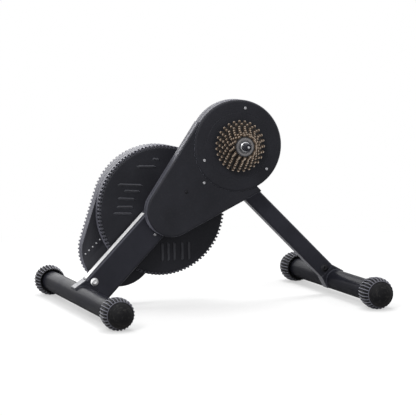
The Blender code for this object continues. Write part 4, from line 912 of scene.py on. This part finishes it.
def make_fasteners():
    """Every screw and bolt whose head shows, in pieces of one finish each."""
    small = socket_screw(SCREW_HEAD_R, SCREW_HEAD_T, 0.0015, 0.001, 0.55)
    large = socket_screw(0.0065, 0.004, 0.0031, 0.0026, 0.3, 0.0088)
    on_disc = [across(spot, DISC_FACE - GAP) for spot in DISC_SCREWS]
    on_belt = [across(spot, BELT_FACE - GAP) for spot in BELT_SCREWS]
    on_drum = [across(SHAFT + heading(a) * (DRUM_R - 0.0095), FAR_FACE + GAP) for a in POST_TURNS]
    rear_bolt = BEAM_TAIL + BEAM_UP * 0.009 + BEAM_LEFT * 0.017
    front_bolt = LEG_TAIL - LEG_DOWN * 0.009
    on_beam = [across(SHAFT - BEAM_UP * 0.0551 - BEAM_LEFT * 0.0147, -BEAM_T / 2)]
    jobs = (
        ("cover_screws", on_disc + on_belt[:1], small, NEAR, "frame", dull_zinc,
            ("disc_screw_top", "disc_screw_rear", "disc_screw_front", "belt_cover_screw_upper")),
        ("cover_screw_black", on_belt[1:], small, NEAR, "frame", oxide,
            ("belt_cover_screw_lower",)),
        ("beam_face_screw", on_beam, small, NEAR, "frame", dull_zinc, ()),
        ("housing_screws", on_drum, small, FAR, "frame", zinc,
            ("housing_screw_front", "housing_screw_top", "housing_screw_rear")),
        ("beam_bolt", [across(rear_bolt, -BEAM_T / 2 - GAP)], large, NEAR, "frame", zinc,
            ("rear_cross_bolt",)),
        ("beam_bolt_nut", [across(rear_bolt, BEAM_T / 2)], large, FAR, "frame", dull_zinc, ()),
        ("leg_bolt", [across(front_bolt, -LEG_T / 2 - GAP)], large, NEAR, "leg", oxide,
            ("front_cross_bolt",)),
        ("leg_bolt_nut", [across(front_bolt, LEG_T / 2)], large, FAR, "leg", oxide, ()))
    for seed, (name, spots, model, facing, body, finish, nodes) in enumerate(jobs):
        mesh = fasteners.grown(path_mesh(*[[s] for s in spots]), finish, Model=model,
            Facing=facing, Seed=seed)
        fitted(placed(name, mesh, smooth=35.0), finish, body, *nodes)
    for model in (small, large):
        bpy.data.objects.remove(model)


def cover_mouth():
    """Where the belt cover's flanks meet its big end, along the line of centres."""
    lean = (COVER_END_R - COVER_BIG_R) / (COVER_BIG - COVER_END).length
    return COVER_BIG_R * lean + (COVER_BIG - AXLE) @ LINE


def with_seats(cover, spots, face):
    """The cover with round seats sunk in it for its screws."""
    sinks = Form()
    for spot in spots:
        sinks.walls(circle(spot, 0.0043, 40), face - 0.01, face + 0.0005)
    return carved(cover, sinks)


def make_covers():
    """The belt cover, open on the axle's side, and the disc cover over its mouth."""
    rings = [(COVER_WALL, BELT_FACE + COVER_WALL), (COVER_WALL, PLATE_BACK), (CHAMFER, PLATE_BACK),
        (0.0, PLATE_BACK - CHAMFER), (0.0, SEAM_FAR), (SEAM_DEPTH, SEAM_FAR),
        (SEAM_DEPTH, SEAM_NEAR), (0.0, SEAM_NEAR)]
    rings += [(inset, BELT_FACE + depth) for inset, depth in rounding(COVER_ROUND, 6)]
    cover = Form().layers([(belt_cover_outline(inset), level) for inset, level in rings])
    cover = placed("belt_cover_moulding", cover, plastic, 25.0)
    low = AXLE + LINE * cover_mouth()
    side, reach = LINE_LEFT * 0.25, LINE * 0.25
    carved(cover, Form().walls([low - side, low + reach - side, low + reach + side, low + side],
        DISC_FACE, 0.0))
    fitted(flattened(with_seats(cover, BELT_SCREWS, BELT_FACE)), plastic, "frame", "belt_cover")

    face, wall = DISC_FACE, COVER_WALL
    rim = [(DISC_R - inset, face + depth) for inset, depth in reversed(rounding(DISC_ROUND, 9))]
    profile = [(DISC_HOLE_R, face + wall), (DISC_HOLE_R, face - 0.0006),
        (DISC_HOLE_R + 0.0004, face - 0.001), (DISC_HOLE_R + 0.0018, face - 0.001),
        (DISC_HOLE_R + 0.0026, face - 0.0004), (DISC_HOLE_R + 0.003, face), (0.0733, face),
        (0.0738, face + 0.0003), (0.0744, face + 0.0003), (0.0749, face), *rim,
        (DISC_R, SEAM_NEAR), (DISC_R - SEAM_DEPTH, SEAM_NEAR), (DISC_R - SEAM_DEPTH, SEAM_FAR),
        (DISC_R, SEAM_FAR), (DISC_R, DISC_BACK - CHAMFER), (DISC_R - CHAMFER, DISC_BACK),
        (DISC_R - wall, DISC_BACK), (DISC_R - wall, face + wall)]
    disc = placed("disc_moulding", Form().turn(AXLE, profile, 160), plastic, 25.0)
    mouth = cover_mouth() + GAP
    whole = belt_cover_outline(-GAP)
    room = []
    for a, b in zip(whole, whole[1:] + whole[:1]):
        past_a, past_b = (a - AXLE) @ LINE - mouth, (b - AXLE) @ LINE - mouth
        if past_a <= 0:
            room.append(a)
        if past_a * past_b < 0:
            room.append(a.lerp(b, past_a / (past_a - past_b)))
    carved(disc, Form().walls(room, BELT_FACE - GAP, 0.014))
    fitted(flattened(with_seats(disc, DISC_SCREWS, face)), plastic, "frame", "disc_cover")


def ribs_on(outline, low, reach):
    """Ribs stood on an outline, from a level towards the far side."""
    length = sum((b - a).length for a, b in zip(outline, outline[1:] + outline[:1]))
    path = path_mesh([across(p, low) for p in outline], closed=True)
    # The ribs take the paler plastic that is their painted highlight.
    return placed("rim", ribs.grown(path, painted_highlight, Count=round(length / RIB_PITCH), Width=0.0041,
        Depth=RIB_DEPTH + 0.0008, Length=reach, Corner=0.0009), smooth=40.0)


LOUVRES = (((-121.5, 328), (-106.5, 326)), ((-158.5, 313), (-114.5, 311)),
    ((-203.5, 275), (-145.5, 270)), ((-189.5, 260), (-152.5, 257)), ((-204.5, 244), (-163.5, 240)),
    ((-207.5, 225), (-168.5, 223)), ((-215.5, 211), (-171.5, 208)))
BARS = tuple(((x, 97), (x, 140)) for x in (-105, -91, -77, -58.5, -43))
LOUVRE_HEIGHT = 0.0072
BAR_HEIGHT = 0.005         # half of it stands out of the face, clear of the leg that folds past


def make_drum():
    """Two shells with ribbed edges and smooth bands behind them, one with louvres on its face."""
    face, deep = DRUM_FACE, DRUM_FACE + NEAR_RIBS
    edge = rounding(0.003, 6)
    rim = [(DRUM_R - RIB_DEPTH - inset, face + depth) for inset, depth in reversed(edge)]
    profile = [(0.02, face), *rim, (DRUM_R - RIB_DEPTH, deep), (DRUM_R - CHAMFER, deep),
        (DRUM_R, deep + CHAMFER), (DRUM_R, DRUM_RIM - CHAMFER), (DRUM_R - CHAMFER, DRUM_RIM),
        (DRUM_R - SHELL_WALL, DRUM_RIM), (DRUM_R - SHELL_WALL, face + SHELL_WALL),
        (0.02, face + SHELL_WALL)]
    shell = flattened(placed("shell", Form().turn(SHAFT, profile, 192), plastic, 28.0))
    on_ribs = RIB_DEPTH / 2 + 0.0004
    rim = ribs_on(circle(SHAFT, DRUM_R - on_ribs, 192), face + 0.0002, NEAR_RIBS)
    hoods = []
    for lines, height in ((LOUVRES, LOUVRE_HEIGHT), (BARS, BAR_HEIGHT)):
        path = [[Vector((x / 1000, face, z / 1000)) for x, z in line] for line in lines]
        # The hoods take the paler plastic that is their painted highlight.
        hood = louvres.grown(path_mesh(*path), lips, Height=height, Depth=0.0042, Step=0.0015)
        hoods.append(placed("hoods", hood, smooth=25.0))
    fitted(joined("drum_moulding", shell, rim, *hoods), plastic, "frame", "drum_shell")

    ledge = FAR_FACE - FAR_RIBS
    rings = [(SHELL_WALL, FAR_FACE - SHELL_WALL), (SHELL_WALL, FAR_RIM), (CHAMFER, FAR_RIM),
        (0.0, FAR_RIM + CHAMFER), (0.0, ledge - CHAMFER), (CHAMFER, ledge), (RIB_DEPTH, ledge)]
    rings += [(RIB_DEPTH + inset, FAR_FACE - depth) for inset, depth in edge]
    shell = Form().layers([(lobed_outline(inset), level) for inset, level in rings])
    shell = placed("shell", shell, plastic, 28.0)
    spot = SHAFT + OUT * 0.11 + OUT_LEFT * 0.045
    w, h = 0.008, 0.006
    carved(shell, Form().walls([spot + Vector(p) for p in ((-w, -h), (w, -h), (w, h), (-w, h))],
        FAR_FACE - 0.01, FAR_FACE + 0.01))
    flattened(shell)
    rim = ribs_on(lobed_outline(on_ribs), ledge - 0.0002, FAR_RIBS)
    boss = Form().turn(SHAFT, [(0.026, FAR_FACE + 0.0008), (0.0275, FAR_FACE + 0.0004),
        (0.028, FAR_FACE - 0.001)], closed=False)
    boss = placed("boss", boss, plastic, 30.0)
    fitted(joined("far_moulding", shell, rim, boss), plastic, "frame", "far_shell")


def make_lobe_cover():
    """The crescent beside the drum, held by a row of rivets."""
    round_r = DRUM_R + 0.0005
    corner = lobe_corner(round_r, LOBE_R)
    whole = lobed_outline()
    drum, lobe = whole[:121], whole[121:]
    flank = (lobe[0] - drum[-1]).normalized()
    top = drum[-1] + flank * sqrt(round_r ** 2 - DRUM_R ** 2)
    start, end = angle_of(corner - SHAFT), angle_of(top - SHAFT)
    inner = arc(SHAFT, round_r, start, start - (start - end) % tau, 72)
    kept = [p for p in lobe if (p - SHAFT).length > round_r + 0.0005]
    plate = Form().walls(kept + inner, DRUM_RIM - 0.003, DRUM_RIM)
    plate = placed("plate", plate, crescent)
    softened(plate, 0.0007, 2, 40.0)
    fitted(placed("lobe_plate", plate.data.copy(), smooth=30.0), crescent, "frame", "lobe_cover")
    bpy.data.objects.remove(plate)
    stud = Form().pin(UP * -0.0004, UP, ((0.0024, 0.0), (0.0024, 0.0008),
        (0.0021, 0.0016), (0.0012, 0.0021)), 20)
    stud = placed("stud", stud, dull_zinc, 50.0)
    ends = [across(p, DRUM_RIM - 0.003) for p in ((-0.2745, 0.121), (-0.2315, 0.159))]
    spots = [[ends[0].lerp(ends[1], i / 5)] for i in range(6)]
    mesh = fasteners.grown(path_mesh(*spots), dull_zinc, Model=stud, Facing=NEAR, Seed=11)
    fitted(placed("lobe_rivets", mesh, smooth=50.0), dull_zinc, "frame")
    bpy.data.objects.remove(stud)


def make_sprockets():
    """Nine toothed plates of rising size on a spacer core, each drilled out to save weight."""
    plates = []
    for i, teeth in enumerate(SPROCKET_TEETH):
        pitch_r = CHAIN_PITCH / (2 * sin(pi / teeth))
        near = FREEHUB_FRONT + 0.001 + i * SPROCKET_PITCH
        room = pitch_r - 0.0032 - SPACER_R
        size = min(0.0045, room * 0.28)
        ring = SPACER_R + room * 0.52
        if room < 0.008:
            size, ring = 0.00025, SPACER_R - 0.0016
        mesh = sprocket.grown(path_mesh([Vector()]), bronze, Teeth=teeth, Pitch_Radius=pitch_r,
            Tip=0.0027, Root=0.0032, Bore=0.0176, Thickness=SPROCKET_T,
            Windows=max(3, round(tau * ring / (size * 3.2))), Window_Ring=ring, Window_Radius=size)
        turn = Matrix.Rotation(radians(7.0 * i), 4, "Y")
        mesh.transform(Matrix.Translation(across(AXLE, near + SPROCKET_T)) @ turn
            @ Matrix.Rotation(pi / 2, 4, "X"))
        pitch = mesh.attributes.new("pitch_radius", "FLOAT", "POINT")
        pitch.data.foreach_set("value", [pitch_r] * len(mesh.vertices))
        plates.append(placed(f"plate_{teeth}", mesh, smooth=30.0))
    core = Form().turn(AXLE, [(0.0177, FREEHUB_FRONT), (SPACER_R, FREEHUB_FRONT),
        (SPACER_R, -0.0599), (0.0177, -0.0599)])
    plates.append(placed("core", core, dark))
    fitted(joined("sprocket_stack", *plates), bronze, "freehub", "cassette")

    body = Form().turn(AXLE, [(0.0133, FREEHUB_BACK), (0.0214, FREEHUB_BACK),
        (0.022, FREEHUB_BACK - CHAMFER), (0.022, -0.059), (0.0214, -0.0596), (0.017, -0.0596),
        (0.017, -0.1022), (0.0166, FREEHUB_FRONT), (0.0133, FREEHUB_FRONT)])
    dressed("freehub_turned", body, dark, "freehub", "freehub_body")
    notched = [AXLE + heading(a) * (0.0142 + (0.001 if i % 8 < 4 else 0.0))
        for i, a in enumerate(turns(96))]
    ring = Form().walls(circle(AXLE, LOCKRING_R), FREEHUB_FRONT - 0.0018, FREEHUB_FRONT - 0.0003,
        [notched])
    ring = softened(placed("lockring_notched", ring, oiled), 0.0003)
    fitted(ring, oiled, "freehub", "lockring")


def make_axle():
    """The hollow axle and the cap on its near end."""
    axle = Form().turn(AXLE, [(AXLE_BORE, -0.1037), (0.0082, -0.1037), (0.0085, -0.1034),
        (0.0085, 0.0193), (0.0126, 0.0193), (0.013, 0.0197), (0.013, 0.0214), (0.0126, FAR_END),
        (0.0033, FAR_END), (AXLE_BORE, FAR_END - 0.0004)])
    dressed("axle_turned", axle, polished, "frame", "hollow_axle")
    cap = Form().turn(AXLE, [(AXLE_BORE, NEAR_END + 0.0004), (0.0033, NEAR_END),
        (0.0098, NEAR_END), (0.011, NEAR_END + 0.001), (0.011, NEAR_END + 0.0038),
        (0.0106, NEAR_END + 0.0042), (AXLE_BORE, NEAR_END + 0.0042)])
    dressed("axle_cap_turned", cap, polished, "frame", "axle_cap")


def fluted(centre, radius, flutes, depth):
    """A circle with rounded flutes."""
    return [centre + heading(a) * (radius + depth * (cos(flutes * a) - 1) / 2)
        for a in turns(144)]


def make_skewer():
    near = NUT_FAR - NUT_T
    shape = [(SKEWER_BORE, NUT_FAR, 0), (0.0091, NUT_FAR, 0), (NUT_R, NUT_FAR - 0.0004, 1),
        (NUT_R, NUT_FAR - 0.004, 1), (0.0088, NUT_FAR - 0.0056, 0.8), (0.0074, near + 0.0006, 0.3),
        (0.0068, near, 0), (SKEWER_BORE, near, 0)]
    flutes = [(fluted(AXLE, r, 18, 0.0009 * share), level) for r, level, share in shape]
    nut = Form().layers(flutes, closed=True)
    dressed("nut_fluted", nut, plastic, "nut", "skewer_nut", smooth=35.0)
    base = Form().turn(AXLE, [(SKEWER_BORE, 0.0291), (0.0099, 0.0291), (LEVER_BASE_R, 0.0297),
        (LEVER_BASE_R, 0.0346), (0.0094, 0.0358), (SKEWER_BORE, 0.0358)])
    dressed("lever_seat", base, plastic, "frame", "lever_base")
    refined("skewer_lever", zinc, 0.0007, "lever", 3)
    up = heading(radians(100))
    side = turned_left(up)
    rod = Form().pin(across(AXLE, near - 0.002), FAR, ((0.0019, 0.0), (0.0025, 0.0006),
        (0.0025, LEVER_PIVOT - near + 0.002)))
    rod.pin(across(AXLE - side * 0.008, LEVER_PIVOT), across(side, 0.0),
        ((0.0026, 0.0), (0.003, 0.0004), (0.003, 0.0156), (0.0026, 0.016)))
    dressed("skewer_turned", rod, zinc, "frame", "skewer_rod", smooth=35.0)


def make_hinge():
    refined("hinge_bracket", paint, 0.0006, "frame", 3)
    shape = ((0.5, 0.0), (0.55, 0.02), (0.55, 0.16), (0.6, 0.2), (0.94, 0.25), (1.0, 0.31),
        (1.0, 0.82), (0.98, 0.9), (0.92, 0.97), (0.86, 1.0), (0.5, 1.0), (0.46, 0.96))
    knob = Form().layers([(fluted(HINGE, 0.017 * share, 6, 0.003 * share),
        HINGE_FACE + depth * 0.022) for share, depth in shape])
    dressed("knob_moulding", knob, plastic, "knob", "hinge_knob", smooth=40.0)
    head = Form().pin(across(HINGE, -HINGE_FACE), NEAR, ((0.008, 0.0), (0.008, 0.0018),
        (0.007, 0.0028), (0.005, 0.003)), 48)
    head.pin(across(HINGE, -HINGE_FACE), FAR, ((0.005, 0.0), (0.005, 0.0568)), 32)
    bolt = placed("pivot_bolt", head, dark, 35.0)
    key = Form().pin(across(HINGE, -0.021), NEAR, ((0.003, 0.0), (0.003, 0.01)), 6)
    fitted(carved(bolt, key), dark, "frame", "hinge_bolt")


def dress_nodes():
    """A finish for every node that still shows."""
    plain_finishes = (paint, plastic, rubber, dark, zinc, bronze, alloy, iron, lacquer)
    by_slot = {finish.slot: finish for finish in plain_finishes}
    on_shaft = ("flywheel_shaft", "small_pulley", "bearing_sleeve", "shaft_bearing_near",
        "shaft_bearing_far")
    for name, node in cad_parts.items():
        for slot in node.material_slots:
            plain = slot.material.name.split(".")[0] if slot.material else ""
            finish = shaft_steel if name in on_shaft else by_slot.get(plain, dark)
            slot.material = finish.material


make_beam()
make_beam_strip()
make_crossbar("rear_stabiliser_welded", REAR_TUBE, REAR_HALF - TUBE_SHORT, BEAM_UP, -BEAM_LOW,
    BEAM_END, BEAM_W, BEAM_T, "frame")
make_feet("rear", REAR_TUBE, REAR_HALF, "frame")
fitted(flattened(box_arm("leg", HINGE, LEG_TAIL, LEG_W, LEG_T, LEG_EDGE)), paint, "leg",
    "front_leg")
make_crossbar("front_stabiliser_welded", FRONT_TUBE, FRONT_HALF - TUBE_SHORT, -LEG_DOWN, 0.0,
    LEG_END, LEG_W, LEG_T, "leg")
make_feet("front", FRONT_TUBE, FRONT_HALF, "leg")
make_fasteners()
make_covers()
make_drum()
make_lobe_cover()
make_sprockets()
make_axle()
make_skewer()
make_hinge()
refined("cover_back_plate", dark, 0.0004, "frame")
refined("power_inlet", plastic, 0.0004, "frame")
dress_nodes()


def make_floor():
    """A pale floor that keeps the shadow and fades to white."""
    mesh = bpy.data.meshes.new("floor")
    mesh.from_pydata([(-9, -9, 0), (9, -9, 0), (9, 9, 0), (-9, 9, 0)], [], [(0, 1, 2, 3)])
    floor = shown("floor", mesh)
    pale = Finish("pale floor", "", (0.86, 0.86, 0.86), 0.6)
    away = pale.add("VectorMath", {"operation": "LENGTH"}, pale.where, out="Value")
    seen = pale.add("LightPath", out="Is Camera Ray")
    pale.surface(Base_Color=pale.blend(seen, (0.3, 0.3, 0.3), (0.86, 0.86, 0.86)))
    share = away.rising(0.45, 1.5, 0.5, 1.0) * seen
    white = pale.add("Emission", (1, 1, 1, 1), 1.0)
    plain = Value(pale, pale.shader.outputs[0])
    mixed = pale.add("MixShader", share, plain, white)
    pale.feed(pale.nodes["Material Output"].inputs["Surface"], mixed)
    mesh.materials.append(pale.material)


def make_light():
    world = bpy.data.worlds.new("studio")
    bpy.context.scene.world = world
    world.use_nodes = True
    net = Net(world.node_tree)
    path = net.nodes.new("ShaderNodeLightPath")
    seen = 0.0
    for ray in ("Camera", "Glossy", "Transmission"):
        seen = seen + Value(net, path.outputs[f"Is {ray} Ray"])
    strength = seen.rising(0.0, 1.0, 0.42, 1.0)
    back = net.nodes["Background"]
    back.inputs["Color"].default_value = (1, 1, 1, 1)
    net.feed(back.inputs["Strength"], strength)
    for name, place, size, power in (("key", (-2.2, -2.4, 2.8), 1.3, 78.0),
            ("fill", (-1.4, -3.2, 0.9), 2.0, 14.0), ("top", (0.2, 0.5, 3.2), 1.6, 58.0),
            ("rim", (-0.25, 3.1, 1.5), 2.0, 44.0), ("side", (2.8, 1.5, 1.0), 1.6, 15.0)):
        lamp = bpy.data.lights.new(name, "AREA")
        lamp.size = size
        lamp.energy = power
        stand = shown(name, lamp)
        stand.location = place
        aim = Vector((0, 0, 0.2)) - Vector(place)
        stand.rotation_euler = aim.to_track_quat("-Z", "Y").to_euler()
        stand.visible_camera = False


def make_camera():
    """From the photograph's own standpoint, with a longer lens and turned on to the trainer."""
    place = Vector((-1.4485, -4.5826, 0.688))
    view = (Vector((0.0, 0.0, 0.214)) - place).normalized()
    yaw = atan2(view.x, view.y)
    right = Vector((cos(yaw), -sin(yaw), 0.0))
    up = right.cross(view)
    roll = radians(-1.38)
    right, up = right * cos(roll) + up * sin(roll), up * cos(roll) - right * sin(roll)
    camera = shown("camera", bpy.data.cameras.new("camera"))
    camera.data.lens = 186.0
    camera.data.sensor_width = 36.0
    camera.matrix_world = Matrix.Translation(place) @ Matrix((right, up,
        -view)).transposed().to_4x4()
    bpy.context.scene.camera = camera


make_floor()
make_light()
make_camera()
bpy.context.scene.view_settings.view_transform = "Standard"

bpy.context.view_layer.update()
